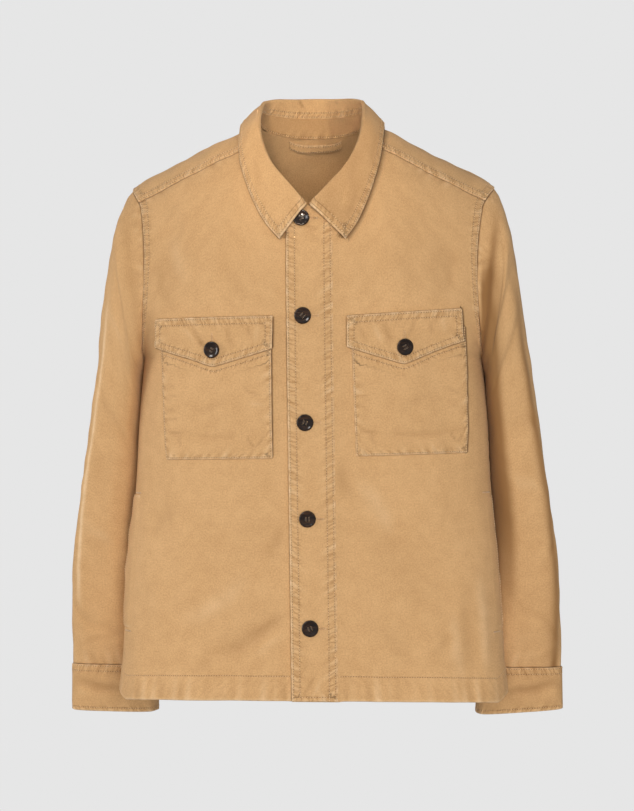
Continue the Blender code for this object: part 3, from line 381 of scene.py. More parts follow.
# soft shade on a panel along the edge of what lies over it: the line runs with the shaded side on its right
def shadeBeside(panel, line, width, strength):
    line = np.asarray(line, float)
    width, strength = [np.broadcast_to(value, len(line) - 1) for value in (width, strength)]
    x, z = panel["base"][..., 0], panel["base"][..., 2]
    best = np.full(x.shape, 1.0)
    signed, reach, inside = np.ones(x.shape), np.ones(x.shape), np.zeros(x.shape)
    for place, (start, end) in enumerate(zip(line[:-1], line[1:])):
        run = end - start
        length = norm(run)
        share = ((x - start[0]) * run[0] + (z - start[1]) * run[1]) / length ** 2
        held = np.clip(share, 0.0, 1.0)
        far = np.hypot(x - start[0] - held * run[0], z - start[1] - held * run[1])
        aside = ((x - start[0]) * run[1] - (z - start[1]) * run[0]) / length
        nearer = far < best
        best = np.where(nearer, far, best)
        signed = np.where(nearer, np.where(aside < 0, -far, far), signed)
        reach = np.where(nearer, width[place], reach)
        beyond = (share < 0) & (place == 0) | (share > 1) & (place == len(line) - 2)
        kept = np.where(beyond, 1 - softStep((far - np.abs(aside)) / 0.0015), 1.0)
        inside = np.where(nearer, strength[place] * kept, inside)
    inside = inside * softStep((signed + 0.012) / 0.004) * softStep((0.03 - panel["base"][..., 1]) / 0.02)
    panel["paintedShadows"].append(np.stack((signed, reach, inside), axis=-1))


def lengthAlong(line):
    return np.concatenate(([0.0], np.cumsum(norm(np.diff(line, axis=0), axis=1))))


# distance from an edge of the grid, and length along that edge
def edgeMeasures(panel, edge):
    axis, fromEnd = edgeAxes[edge]
    points = panel["base"]
    steps = norm(np.diff(points, axis=axis), axis=2)
    if fromEnd:
        steps = np.flip(steps, axis)
    start = np.zeros_like(np.take(steps, [0], axis))
    distance = np.concatenate((start, np.cumsum(steps, axis)), axis)
    if fromEnd:
        distance = np.flip(distance, axis)
    rim = np.take(points, -1 if fromEnd else 0, axis=axis)
    along = lengthAlong(rim)
    along = along[None, :] if axis == 0 else along[:, None]
    return distance, np.broadcast_to(along, distance.shape)


def spanWeight(share, span):
    weight, fade = np.ones(np.shape(share)), edgeLook["spanFade"]
    if span[0] > 0:
        weight = weight * softStep((share - span[0]) / fade + 0.5)
    if span[1] < 1:
        weight = weight * softStep((span[1] - share) / fade + 0.5)
    return weight


# sewn or folded edge: raised strip, grooves under the stitches, puckers with painted highlight and shade on them,
# rolled rim, pale abrasion, and a painted shadow along the edge when the look has one
def dressEdge(panel, edge, look):
    distance, along = edgeMeasures(panel, edge)
    weight = spanWeight(along / along.max(), look.get("span", (0.0, 1.0)))
    if "mask" in look:
        weight = weight * look["mask"]
    relief = np.zeros(distance.shape)
    if "raise" in look:
        relief += look["raise"] * (1 - softStep((distance - look["width"]) / edgeLook["raiseSlope"]))
    if "rows" in look:
        markSeam(panel, along, distance, weight, look)
    # painted shadow along this edge
    if "paintedShadow" in look:
        width, strength = look["paintedShadow"]
        panel["paintedShadows"].append(np.stack((distance, np.full(distance.shape, width), strength * weight), axis=-1))
    seed = look.get("seed", 1)
    if "pucker" in look:
        reach = look.get("reach", 0.009)
        slanted = along + look.get("slant", 0.6) * distance
        ropes = wobble(slanted, seed, look.get("pitch", 0.0125))
        relief += look["pucker"] * ropes * np.exp(-(distance / reach) ** 2)
        # painted highlight on the pucker ridges and painted shade in their hollows
        panel["wearAndPaintedShading"] += weight * 0.3 * np.clip(ropes, -1, 1) * np.exp(-(distance / reach) ** 2)
    if "roll" in look:
        inside = np.clip(look["roll"] - distance, 0.0, look["roll"])
        relief -= look["roll"] - np.sqrt(np.maximum(look["roll"] ** 2 - inside ** 2, 0.0))
    if "drop" in look:
        relief -= look["drop"] * (1 - softStep(distance / look.get("dropReach", 0.005)))
    panel["relief"] += weight * relief
    rub = look.get("wearAndPaintedShading", 0.5)
    blotch = 0.7 + 0.3 * wobble(along, seed + 50, edgeLook["blotchPitch"])
    panel["wearAndPaintedShading"] += weight * rub * blotch * np.exp(-(distance / edgeLook["wearReach"]) ** 2)


stitchLines = {"body": [], "sleeves": [], "collar": [], "pockets": []}
threadLines = []
threadSize = {"radius": 0.0004, "length": 0.0019, "pitch": 0.0031, "halfShares": (0.42, 0.54)}


def trimLine(line, start, end):
    lengths = lengthAlong(line)
    total = lengths[-1]
    if total - start - end < 0.006:
        return None
    count = max(int((total - start - end) / 0.0035), 3)
    at = np.linspace(start, total - end, count)
    return np.stack([np.interp(at, lengths, line[:, axis]) for axis in range(3)], axis=1)


# a line on the finished cloth, at a fixed distance from one edge
def insetLine(panel, edge, inset, span):
    distance, along = edgeMeasures(panel, edge)
    axis, fromEnd = edgeAxes[edge]
    points = panel["points"] + panel["normals"] * edgeLook["threadLift"]
    if axis == 0:
        distance, along, points = distance.T, along.T, points.swapaxes(0, 1)
    if fromEnd:
        distance, points = distance[:, ::-1], points[:, ::-1]
    share = along[:, 0] / along.max()
    line = []
    for index in np.flatnonzero((share >= span[0]) & (share <= span[1])):
        at = int(np.clip(np.searchsorted(distance[index], inset), 1, distance.shape[1] - 1))
        low, high = distance[index, at - 1], distance[index, at]
        part = np.clip((inset - low) / max(high - low, 1e-9), 0.0, 1.0)
        line.append(mix(points[index, at - 1], points[index, at], part))
    if panel["around"] and axis == 0:
        line.append(line[0])
    return np.array(line)


def dressAndSew(panel, looks, group):
    for edge, look in looks:
        dressEdge(panel, edge, look)
    panel["points"] = panel["base"] + panel["normals"] * panel["relief"][..., None]
    for edge, look in looks:
        for inset in look.get("rows", ()):
            line = insetLine(panel, edge, inset, look.get("span", (0.0, 1.0)))
            line = trimLine(line, *look.get("trim", (0.001, 0.001)))
            if line is not None:
                stitchLines[group].append(line)
    return panel


# materials
def setInputs(node, values):
    for name, value in values.items():
        node.inputs[name].default_value = value


def addNode(tree, kind, inputs=None, **settings):
    node = tree.nodes.new(kind)
    for name, value in settings.items():
        setattr(node, name, value)
    setInputs(node, inputs or {})
    return node


def feed(tree, socket, value):
    if isinstance(value, (float, tuple)):
        socket.default_value = value
    else:
        tree.links.new(value, socket)


def blendColours(tree, share, first, second):
    node = addNode(tree, "ShaderNodeMix", data_type="RGBA", clamp_factor=True)
    tree.links.new(share, node.inputs["Factor"])
    feed(tree, node.inputs[6], first)
    feed(tree, node.inputs[7], second)
    return node.outputs[2]


def newMaterial(name):
    material = bpy.data.materials.new(name)
    material.use_nodes = True
    return material, material.node_tree, material.node_tree.nodes["Principled BSDF"]


twillLook = {
    "dark": (0.545, 0.308, 0.132, 1), "light": (0.715, 0.434, 0.206, 1), "paleWearAndHighlight": (0.93, 0.69, 0.43, 1),
    "shade": (0.3, 0.15, 0.055, 1), "shadowPaint": (0.06, 0.026, 0.009, 1),
    "twillScale": 560.0, "grainScale": 520.0, "mottleScale": 55.0, "patchScale": 9.0,
    "bumpDepth": 0.00045, "bumpStrength": 0.6, "roughness": 0.92, "sheen": 0.12,
    "ropeSlant": 0.4, "ropeDepth": 0.0006, "grooveWidth": 0.001, "grooveDepth": 0.7, "grooveShade": 0.66,
    "valleyShade": 0.26, "toneStart": -1.58, "toneShares": (0.16, 2.4, 0.95, 0.65, 0.6),
    "heightShares": (0.45, 0.75, 0.6), "sheenTint": (1.0, 0.86, 0.66, 1),
}


def makeTwill():
    look = twillLook
    material, tree, shader = newMaterial("washedTwill")
    link = tree.links.new
    place = addNode(tree, "ShaderNodeUVMap", uv_map="clothMap")
    twill = addNode(tree, "ShaderNodeTexWave", {
        "Scale": look["twillScale"], "Distortion": 1.2, "Detail": 2.0, "Detail Scale": 1.4},
        wave_type="BANDS", bands_direction="DIAGONAL")
    textures = [twill]
    for name, detail, rough in (("grain", 3.0, 0.65), ("mottle", 5.0, 0.62), ("patch", 3.0, 0.55)):
        textures.append(addNode(tree, "ShaderNodeTexNoise", {
            "Scale": look[name + "Scale"], "Detail": detail, "Roughness": rough}))
    for texture in textures:
        link(place.outputs["UV"], texture.inputs["Vector"])
    weave = [texture.outputs["Fac"] for texture in textures]
    mottle = weave[2]

    def sums(operation, *given, clamp=False):
        node = addNode(tree, "ShaderNodeMath", operation=operation, use_clamp=clamp)
        for socket, value in zip(node.inputs, given):
            feed(tree, socket, value)
        return node.outputs[0]

    def layered(total, parts, shares):
        for part, share in zip(parts, shares):
            total = sums("MULTIPLY_ADD", part, share, total)
        return total

    def falling(value, start, end):
        node = addNode(tree, "ShaderNodeMapRange", {
            "From Min": start, "From Max": end, "To Min": 1.0, "To Max": 0.0}, interpolation_type="SMOOTHSTEP")
        link(value, node.inputs["Value"])
        return node.outputs["Result"]

    def splitMark(name):
        node = addNode(tree, "ShaderNodeSeparateXYZ")
        link(addNode(tree, "ShaderNodeAttribute", attribute_name=name).outputs["Vector"], node.inputs[0])
        return node.outputs

    # seams: grooves at the rows of stitches, uneven ropes of cloth between and beside them
    along, distance, strength = splitMark("seam")
    *rows, reachOut = splitMark("rowPlaces")
    grooves = [falling(sums("ABSOLUTE", sums("SUBTRACT", distance, row)), 0.0, look["grooveWidth"]) for row in rows]
    groove = sums("MULTIPLY", sums("MAXIMUM", *grooves), sums("MULTIPLY", strength, 4.0, clamp=True))
    reach = falling(sums("DIVIDE", distance, reachOut), 0.85, 1.35)
    slanted = addNode(tree, "ShaderNodeCombineXYZ")
    link(sums("MULTIPLY_ADD", distance, look["ropeSlant"], along), slanted.inputs["X"])
    link(sums("MULTIPLY", distance, 0.7), slanted.inputs["Y"])
    rope = addNode(tree, "ShaderNodeTexWave", {
        "Scale": math.pi / (10 * ropePitch), "Distortion": 8.0, "Detail": 2.0, "Detail Scale": 1.7,
        "Detail Roughness": 0.6}, wave_type="BANDS", bands_direction="X")
    swell = addNode(tree, "ShaderNodeTexNoise", {"Scale": 75.0, "Detail": 1.0})
    for texture in (rope, swell):
        link(slanted.outputs[0], texture.inputs["Vector"])
    ropes = sums("MULTIPLY", sums("SUBTRACT", rope.outputs["Fac"], 0.5), sums("MULTIPLY", reach, strength))
    ropes = sums("MULTIPLY", ropes, sums("MULTIPLY_ADD", swell.outputs["Fac"], 2.6, -0.4, clamp=True))

    # colour: weave, with painted highlight and shade on the ropes; then paler by the wear attribute, which holds
    # abrasion and painted highlights; then painted shade in the stitch grooves, the rope valleys and where the wear
    # attribute is below zero; then painted shadow beside what lies over it
    colour = layered(look["toneStart"], weave + [ropes], look["toneShares"])
    colour = blendColours(tree, colour, look["dark"], look["light"])
    wearAndPaintedShading = addNode(tree, "ShaderNodeAttribute", attribute_name="wearAndPaintedShading").outputs["Fac"]
    # pale mix: abrasion and painted highlights
    paleWearAndHighlight = sums("MULTIPLY", wearAndPaintedShading, sums("MULTIPLY_ADD", mottle, 1.1, 0.2), clamp=True)
    colour = blendColours(tree, paleWearAndHighlight, colour, look["paleWearAndHighlight"])
    # painted shade in the rope valleys and stitch grooves, and where the wear attribute is below zero
    valley = sums("MULTIPLY", sums("MAXIMUM", sums("MULTIPLY", ropes, -1.0), 0.0), look["valleyShade"])
    paintedShade = sums("MAXIMUM", sums("MULTIPLY", wearAndPaintedShading, -1.0), 0.0)
    paintedShade = sums("ADD", sums("MULTIPLY_ADD", groove, look["grooveShade"], valley), paintedShade)
    colour = blendColours(tree, paintedShade, colour, look["shade"])
    # painted shadow beside what lies over the panel, towards the shadow colour
    away, width, dark = splitMark("paintedShadow")
    depth = falling(sums("DIVIDE", away, width), 0.0, 1.0)
    colour = blendColours(tree, sums("MULTIPLY", depth, dark), colour, look["shadowPaint"])
    link(colour, shader.inputs["Base Color"])

    height = layered(0.0, weave, look["heightShares"])
    bump = addNode(tree, "ShaderNodeBump", {"Strength": look["bumpStrength"], "Distance": look["bumpDepth"]})
    link(height, bump.inputs["Height"])
    sewn = addNode(tree, "ShaderNodeBump", {"Strength": 1.0, "Distance": look["ropeDepth"]})
    link(sums("MULTIPLY_ADD", groove, -look["grooveDepth"], ropes), sewn.inputs["Height"])
    link(bump.outputs["Normal"], sewn.inputs["Normal"])
    link(sewn.outputs["Normal"], shader.inputs["Normal"])
    setInputs(shader, {"Roughness": look["roughness"], "Sheen Weight": look["sheen"], "Sheen Roughness": 0.5,
                       "Sheen Tint": look["sheenTint"], "Specular IOR Level": 0.18})
    return material


def makeThread(name, dark, light):
    material, tree, shader = newMaterial(name)
    link = tree.links.new
    place = addNode(tree, "ShaderNodeTexCoord")
    fibre = addNode(tree, "ShaderNodeTexNoise", {"Scale": 1800.0, "Detail": 2.0, "Roughness": 0.6})
    link(place.outputs["Object"], fibre.inputs["Vector"])
    link(blendColours(tree, fibre.outputs["Fac"], dark, light), shader.inputs["Base Color"])
    bump = addNode(tree, "ShaderNodeBump", {"Strength": 0.4, "Distance": 0.0001})
    link(fibre.outputs["Fac"], bump.inputs["Height"])
    link(bump.outputs["Normal"], shader.inputs["Normal"])
    setInputs(shader, {"Roughness": 0.75, "Sheen Weight": 0.2})
    return material


hornLook = {"stops": ((0.42, (0.01, 0.005, 0.003, 1)), (0.75, (0.06, 0.026, 0.011, 1))), "roughness": 0.14}


def makeHorn():
    material, tree, shader = newMaterial("darkHorn")
    link = tree.links.new
    centre = addNode(tree, "ShaderNodeTexCoord")
    stretch = addNode(tree, "ShaderNodeMapping", {"Scale": (90.0, 90.0, 320.0), "Rotation": (0.0, 0.5, 0.0)})
    streak = addNode(tree, "ShaderNodeTexNoise", {"Scale": 1.0, "Detail": 4.0, "Roughness": 0.6})
    link(centre.outputs["Object"], stretch.inputs["Vector"])
    link(stretch.outputs["Vector"], streak.inputs["Vector"])
    ramp = addNode(tree, "ShaderNodeValToRGB")
    for stop, (place, colour) in zip(ramp.color_ramp.elements, hornLook["stops"]):
        stop.position, stop.color = place, colour
    link(streak.outputs["Fac"], ramp.inputs["Fac"])
    link(ramp.outputs["Color"], shader.inputs["Base Color"])
    setInputs(shader, {"Roughness": hornLook["roughness"], "Specular IOR Level": 0.5, "Coat Weight": 0.25,
                       "Coat Roughness": 0.06})
    return material


twillMaterial = makeTwill()
threadMaterial = makeThread("tanThread", (0.74, 0.48, 0.24, 1), (0.88, 0.62, 0.35, 1))
buttonThreadMaterial = makeThread("darkThread", (0.07, 0.046, 0.03, 1), (0.19, 0.13, 0.085, 1))
hornMaterial = makeHorn()
print("materials ready")


def addObject(name, data):
    made = bpy.data.objects.new(name, data)
    scene.collection.objects.link(made)
    return made


def addPiece(name, mesh, node=None):
    piece = addObject(name, mesh)
    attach(piece, "root")
    if node:
        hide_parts(node)
    return piece


# closed shell with a rounded rim from a grid of outer points
def makeShell(panel, node):
    points, normals, around = panel["points"], panel["normals"], panel["around"]
    thickness = panel["thickness"]
    rows, columns = points.shape[:2]
    inner = points - normals * thickness
    index = np.arange(rows * columns).reshape(rows, columns)
    acrossMap = edgeMeasures(panel, "firstColumn")[0]
    downMap = edgeMeasures(panel, "firstRow")[0]
    downMap = np.broadcast_to(np.median(downMap, axis=1, keepdims=True), downMap.shape)
    if around:
        index = np.concatenate((index, index[:, :1]), axis=1)
        gap = norm(points[:, 0] - points[:, -1], axis=1)
        acrossMap = np.concatenate((acrossMap, (acrossMap[:, -1] + gap)[:, None]), axis=1)
        downMap = np.concatenate((downMap, downMap[:, :1]), axis=1)
    mapped = np.stack((acrossMap, downMap), axis=-1)

    def corners(grid):
        return np.stack((grid[:-1, :-1], grid[:-1, 1:], grid[1:, 1:], grid[1:, :-1]), axis=2).reshape(
            (-1, 4) + grid.shape[2:])

    outerFaces, faceMap = corners(index), corners(mapped)
    innerFaces = outerFaces[:, ::-1] + rows * columns

    # rims: each border loop with its outward direction
    loops = []
    width = index.shape[1]
    alongRow = np.arange(width)
    if around:
        loops.append((index[0], unit(points[0] - points[1]), mapped[0]))
        loops.append((index[-1][::-1], unit(points[-1] - points[-2])[::-1], mapped[-1][::-1]))
    else:
        outDown = np.zeros_like(points)
        outDown[0] += unit(points[0] - points[1])
        outDown[-1] += unit(points[-1] - points[-2])
        outDown[:, 0] += unit(points[:, 0] - points[:, 1])
        outDown[:, -1] += unit(points[:, -1] - points[:, -2])
        walk = ([(0, c) for c in alongRow[:-1]] + [(r, columns - 1) for r in range(rows - 1)]
                + [(rows - 1, c) for c in alongRow[:0:-1]] + [(r, 0) for r in range(rows - 1, 0, -1)])
        walk.append(walk[0])
        at = tuple(np.array(walk).T)
        loops.append((index[at], outDown[at], mapped[at]))

    vertices = [points.reshape(-1, 3), inner.reshape(-1, 3)]
    wearAndPaintedShading = [panel["wearAndPaintedShading"].ravel(), panel["wearAndPaintedShading"].ravel() * 0.3]
    marks = {name: [values.reshape(-1, 3)] * 2 for name, values in seamData(panel).items()}
    rimFaces, rimMap = [], []
    start = 2 * rows * columns
    flatPoints, flatInner = vertices[0], vertices[1]
    for border, outward, borderMap in loops:
        ring = border[:-1]
        middle = (flatPoints[ring] + flatInner[ring]) / 2 + outward[:len(ring)] * thickness * 0.42
        vertices.append(middle)
        wearAndPaintedShading.append(panel["wearAndPaintedShading"].ravel()[ring])
        for name in marks:
            marks[name] = marks[name] + [marks[name][0][ring]]
        middleIndex = start + np.arange(len(ring))
        middleIndex = np.append(middleIndex, middleIndex[0])
        start += len(ring)
        rimFaces.append(np.stack((border[1:], border[:-1], middleIndex[:-1], middleIndex[1:]), axis=1))
        innerBorder = border + rows * columns
        rimFaces.append(np.stack((middleIndex[1:], middleIndex[:-1], innerBorder[:-1], innerBorder[1:]), axis=1))
        side = np.stack((borderMap[1:], borderMap[:-1], borderMap[:-1], borderMap[1:]), axis=1)
        rimMap += [side, side]
    faces = np.concatenate([outerFaces, innerFaces] + rimFaces)
    loopMap = np.concatenate([faceMap, faceMap[:, ::-1]] + rimMap)

    middle = (min(rows // 2, rows - 2), min(columns // 2, columns - 2))
    alongStep = points[middle[0], middle[1] + 1] - points[middle]
    downStep = points[middle[0] + 1, middle[1]] - points[middle]
    if np.dot(np.cross(alongStep, downStep), normals[middle]) < 0:
        faces, loopMap = faces[:, ::-1], loopMap[:, ::-1]

    mesh = bpy.data.meshes.new(panel["name"])
    mesh.from_pydata(np.concatenate(vertices).tolist(), [], faces.tolist())
    layer = mesh.uv_layers.new(name="clothMap")
    layer.data.foreach_set("uv", loopMap.reshape(-1).astype(np.float32))
    # wear attribute: abrasion and painted highlights above zero, painted shade below zero
    mark = mesh.attributes.new("wearAndPaintedShading", "FLOAT", "POINT")
    mark.data.foreach_set("value", np.clip(np.concatenate(wearAndPaintedShading), -1.0, 1.0).astype(np.float32))
    for name, parts in marks.items():
        mark = mesh.attributes.new(name, "FLOAT_VECTOR", "POINT")
        mark.data.foreach_set("vector", np.concatenate(parts).ravel().astype(np.float32))
    mesh.shade_smooth()
    mesh.materials.append(twillMaterial)
    piece = addPiece(panel["name"], mesh, node)
    span = points[1:, 1:] - points[:-1, :-1], points[1:, :-1] - points[:-1, 1:]
    shown = norm(np.cross(*span), axis=2).sum() / 2
    print("cloth", panel["name"], "area", round(float(shown), 4), "faces", len(faces))


# edges that several panels share
hemEdge = {"raise": 0.0008, "width": 0.03, "rows": [0.03], "pucker": 0.0006, "reach": 0.026, "pitch": 0.016,
           "slant": 0.05, "ropePitch": 0.0105, "rope": 0.25, "wearAndPaintedShading": 0.35}
hemRim = {"roll": 0.001, "wearAndPaintedShading": 0.3}
armholeEdge = {"raise": 0.0009, "width": 0.0095, "rows": [0.0016, 0.0084], "pucker": 0.00045, "reach": 0.012,
               "wearAndPaintedShading": 0.55}
sideEdge = {"pucker": 0.0004, "reach": 0.01, "roll": 0.0009}
topEdge = {"drop": 0.0007, "pucker": 0.0004, "reach": 0.01}

# front panels
frontLook = {
    "step": 0.0034, "neckShare": 5 / 11, "neckPower": 0.8, "underLap": 0.034, "overLap": 0.0008, "lapFlat": 0.012,
    "lapSlope": 0.016, "besideLift": 0.0006, "besideGap": 0.002, "besideSlope": 0.008, "bandFade": 0.004,
    # width and strength of the painted shadow under the yoke seam
    "topPaintedShadow": (0.0022, 0.62), "seed": {1: 20, -1: 40},
}


# the rows of a front or back panel above the armpit, up to the yoke seam
def addUpper(x, columns, topX, topZ, share):
    low = form["armpit"]
    middle = (low + ridgeHeight(form["shoulderTip"])) / 2
    half = middle - low
    edgeZ = middle - half * np.cos(math.acos((middle - topZ[-1]) / half) * share)
    edgeShare = (edgeZ - low) / (topZ[-1] - low)
    outwardness = np.abs(columns) ** 3
    highX = mix(x[-1], topX, share)
    highX = highX * mix(1.0, edgeWidth(edgeZ) / mix(x[-1, -1], topX[-1], share), outwardness)
    return np.concatenate((x, highX)), mix(low, topZ, mix(share, edgeShare, outwardness))


def frontGrid(hand, lapEdge, liftAt):
    look = frontLook
    corner = look["neckShare"]
    inner = spacing(0.125, look["step"], True, False) * corner
    outer = corner + spacing(0.165, look["step"], False, True)[1:] * (1 - corner)
    columns = np.concatenate((inner, outer))
    lower = mix(form["hem"], form["armpit"], spacing(0.414, look["step"], True, False))
    upper = spacing(0.215, look["step"], False, True)[1:]
    outerX, _ = armholeCrossing(form["yokeDrop"])
    neckX = mix(lapEdge(form["neckFront"]), neckline[-1, 0],
                np.minimum(columns / corner, 1.0) ** look["neckPower"])
    neckZ = smoothCurve(neckline[:, 0], neckline[:, 1], neckX)
    yokeX = mix(neckline[-1, 0], outerX, (columns - corner) / (1 - corner))
    onNeck = columns < corner
    topX = np.where(onNeck, neckX, yokeX)
    topZ = np.where(onNeck, neckZ, ridgeHeight(yokeX) - form["yokeDrop"]) - cloth["seamGap"]

    z = lower[:, None]
    lap = lapEdge(z) / edgeWidth(z)
    start = np.sign(lap) * np.arcsin(np.abs(lap) ** (form["planPower"] / 2))
    angle = mix(start, math.pi / 2, columns[None, :])
    x = edgeWidth(z) * np.sign(angle) * np.abs(np.sin(angle)) ** (2 / form["planPower"])
    hung = np.broadcast_to(z, x.shape) - hemDip(x, z)
    x = x * edgeWidth(hung) / edgeWidth(z)
    z = hung

    x, highZ = addUpper(x, columns, topX, topZ, upper[:, None])
    x, z = x * hand, np.concatenate((z, highZ))
    points, normals = lay(x, z, front, liftAt(x, z))
    return points, normals, len(lower)


def leftLift(x, z):
    look = frontLook
    flatFrom = bandEdge(z) + form["bandWidth"] + look["lapFlat"]
    beside = look["besideLift"] * softStep((flatFrom - look["besideGap"] - x) / look["besideSlope"])
    return cloth["lapRaise"] * softStep((flatFrom - x) / look["lapSlope"]) + beside


def armpitShare(panel, armpitRow):
    along = edgeMeasures(panel, "lastColumn")[1][:, 0]
    return along[armpitRow - 1] / along[-1]


def makeFront(word, hand, lapEdge, liftAt):
    points, normals, lowRows = frontGrid(hand, lapEdge, liftAt)
    panel = newPanel("front" + word, points, normals, cloth["single"])
    # painted shade in the body's creases and folds, paler on their ridges
    panel["wearAndPaintedShading"] += paintedCreaseShade(points[..., 0], points[..., 2], front)
    panel["lowRows"] = lowRows
    turnUp = armpitShare(panel, lowRows)
    fromBand = points[..., 0] - bandEdge(points[..., 2]) - form["bandWidth"]
    if hand < 0:
        fromBand = bandEdge(points[..., 2]) - points[..., 0]
    clear = softStep(fromBand / frontLook["bandFade"])
    seed = frontLook["seed"][hand]
    looks = [
        ("firstRow", {**hemEdge, "mask": clear, "seed": seed + 1}),
        ("firstRow", {**hemRim, "mask": clear, "seed": seed + 2}),
        ("lastColumn", {**armholeEdge, "span": (turnUp, 1.0), "seed": seed + 3}),
        ("lastColumn", {**sideEdge, "span": (0.0, turnUp), "seed": seed + 4}),
        # painted shadow on the front under the yoke seam
        ("lastRow", {**topEdge, "span": (0.35, 1.0), "seed": seed + 5, "wearAndPaintedShading": 0.0,
                     "paintedShadow": frontLook["topPaintedShadow"]}),
    ]
    return dressAndSew(panel, looks, "body")


frontLeft = makeFront("Left", 1, lambda z: bandEdge(z) + frontLook["overLap"], leftLift)
frontRight = makeFront("Right", -1, lambda z: -(bandEdge(z) + frontLook["underLap"]),
                       lambda x, z: np.zeros(x.shape))

# back panel
backLook = {"step": 0.0042}


def makeBack():
    look = backLook
    columns = 2 * spacing(0.56, look["step"]) - 1
    lower = mix(form["hem"], form["armpit"], spacing(0.414, look["step"], True, False))[:, None]
    angle = columns[None, :] * math.pi / 2
    x = edgeWidth(lower) * np.sign(angle) * np.abs(np.sin(angle)) ** (2 / form["planPower"])
    z = np.broadcast_to(lower, x.shape)
    topX = edgeWidth(np.array(form["backYoke"])) * columns
    topZ = np.full(len(columns), form["backYoke"] - cloth["seamGap"])
    share = spacing(0.165, look["step"], False, True)[1:, None]
    x, highZ = addUpper(x, columns, topX, topZ, share)
    points, normals = lay(x, np.concatenate((z, highZ)), back)
    points[:, (0, -1), 1] += cloth["seamGap"]
    panel = newPanel("backPanel", points, normals, cloth["single"])
    # painted shade in the body's creases and folds, paler on their ridges
    panel["wearAndPaintedShading"] += paintedCreaseShade(points[..., 0], points[..., 2], back)
    panel["lowRows"] = len(lower)
    turnUp = armpitShare(panel, len(lower))
    looks = [
        ("firstRow", {**hemEdge, "seed": 61}),
        ("firstRow", {**hemRim, "seed": 62}),
        ("lastRow", {**topEdge, "seed": 63, "wearAndPaintedShading": 0.2}),
    ]
    for edge, seed in (("firstColumn", 64), ("lastColumn", 66)):
        looks.append((edge, {**armholeEdge, "span": (turnUp, 1.0), "seed": seed}))
        looks.append((edge, {**sideEdge, "span": (0.0, turnUp), "seed": seed + 1}))
    return dressAndSew(panel, looks, "body")


backPanel = makeBack()
makeShell(backPanel, "back")

# collar: seam side, seam x, seam z, inset, rise, lean, edge side, edge x, edge z, edge lift
collarStations = [
    (front, 0.002, -0.0985, -0.006, 0.004, 0.0, front, 0.0375, -0.138, 0.0085),
    (front, 0.023, -0.082, 0.002, 0.011, 0.003, front, 0.055, -0.115, 0.007),
    (front, 0.049, -0.06, 0.0027, 0.018, 0.005, front, 0.0715, -0.081, 0.006),
    (front, 0.065, -0.033, 0.0027, 0.023, 0.006, front, 0.084, -0.043, 0.0055),
    (front, 0.0705, -0.008, 0.0027, 0.025, 0.007, front, 0.087, -0.015, 0.0055),
    (front, 0.07, 0.0146, 0.0027, 0.023, 0.007, front, 0.0868, 0.006, 0.006),
    (back, 0.066, 0.011, 0.0027, 0.033, 0.008, back, 0.086, -0.01, 0.006),
    (back, 0.054, 0.007, 0.0027, 0.041, 0.009, back, 0.0755, -0.0255, 0.0055),
    (back, 0.028, 0.003, 0.0027, 0.0465, 0.006, back, 0.04, -0.034, 0.0055),
    (back, 0.0, 0.002, 0.0027, 0.048, 0.005, back, 0.0, -0.035, 0.006),
]

# yoke: lines from the neck edge out to the seams and the armholes
yokeLook = {"step": 0.0034, "sideSteps": 6}
shoulderTip = {"drop": 0.0032, "dropReach": 0.017, "wearAndPaintedShading": 0.0}


# the rounded shoulder tip, by height along the armhole edge
def tipMask(heights):
    return softStep((heights - heights.max()) / 0.016 + 1)


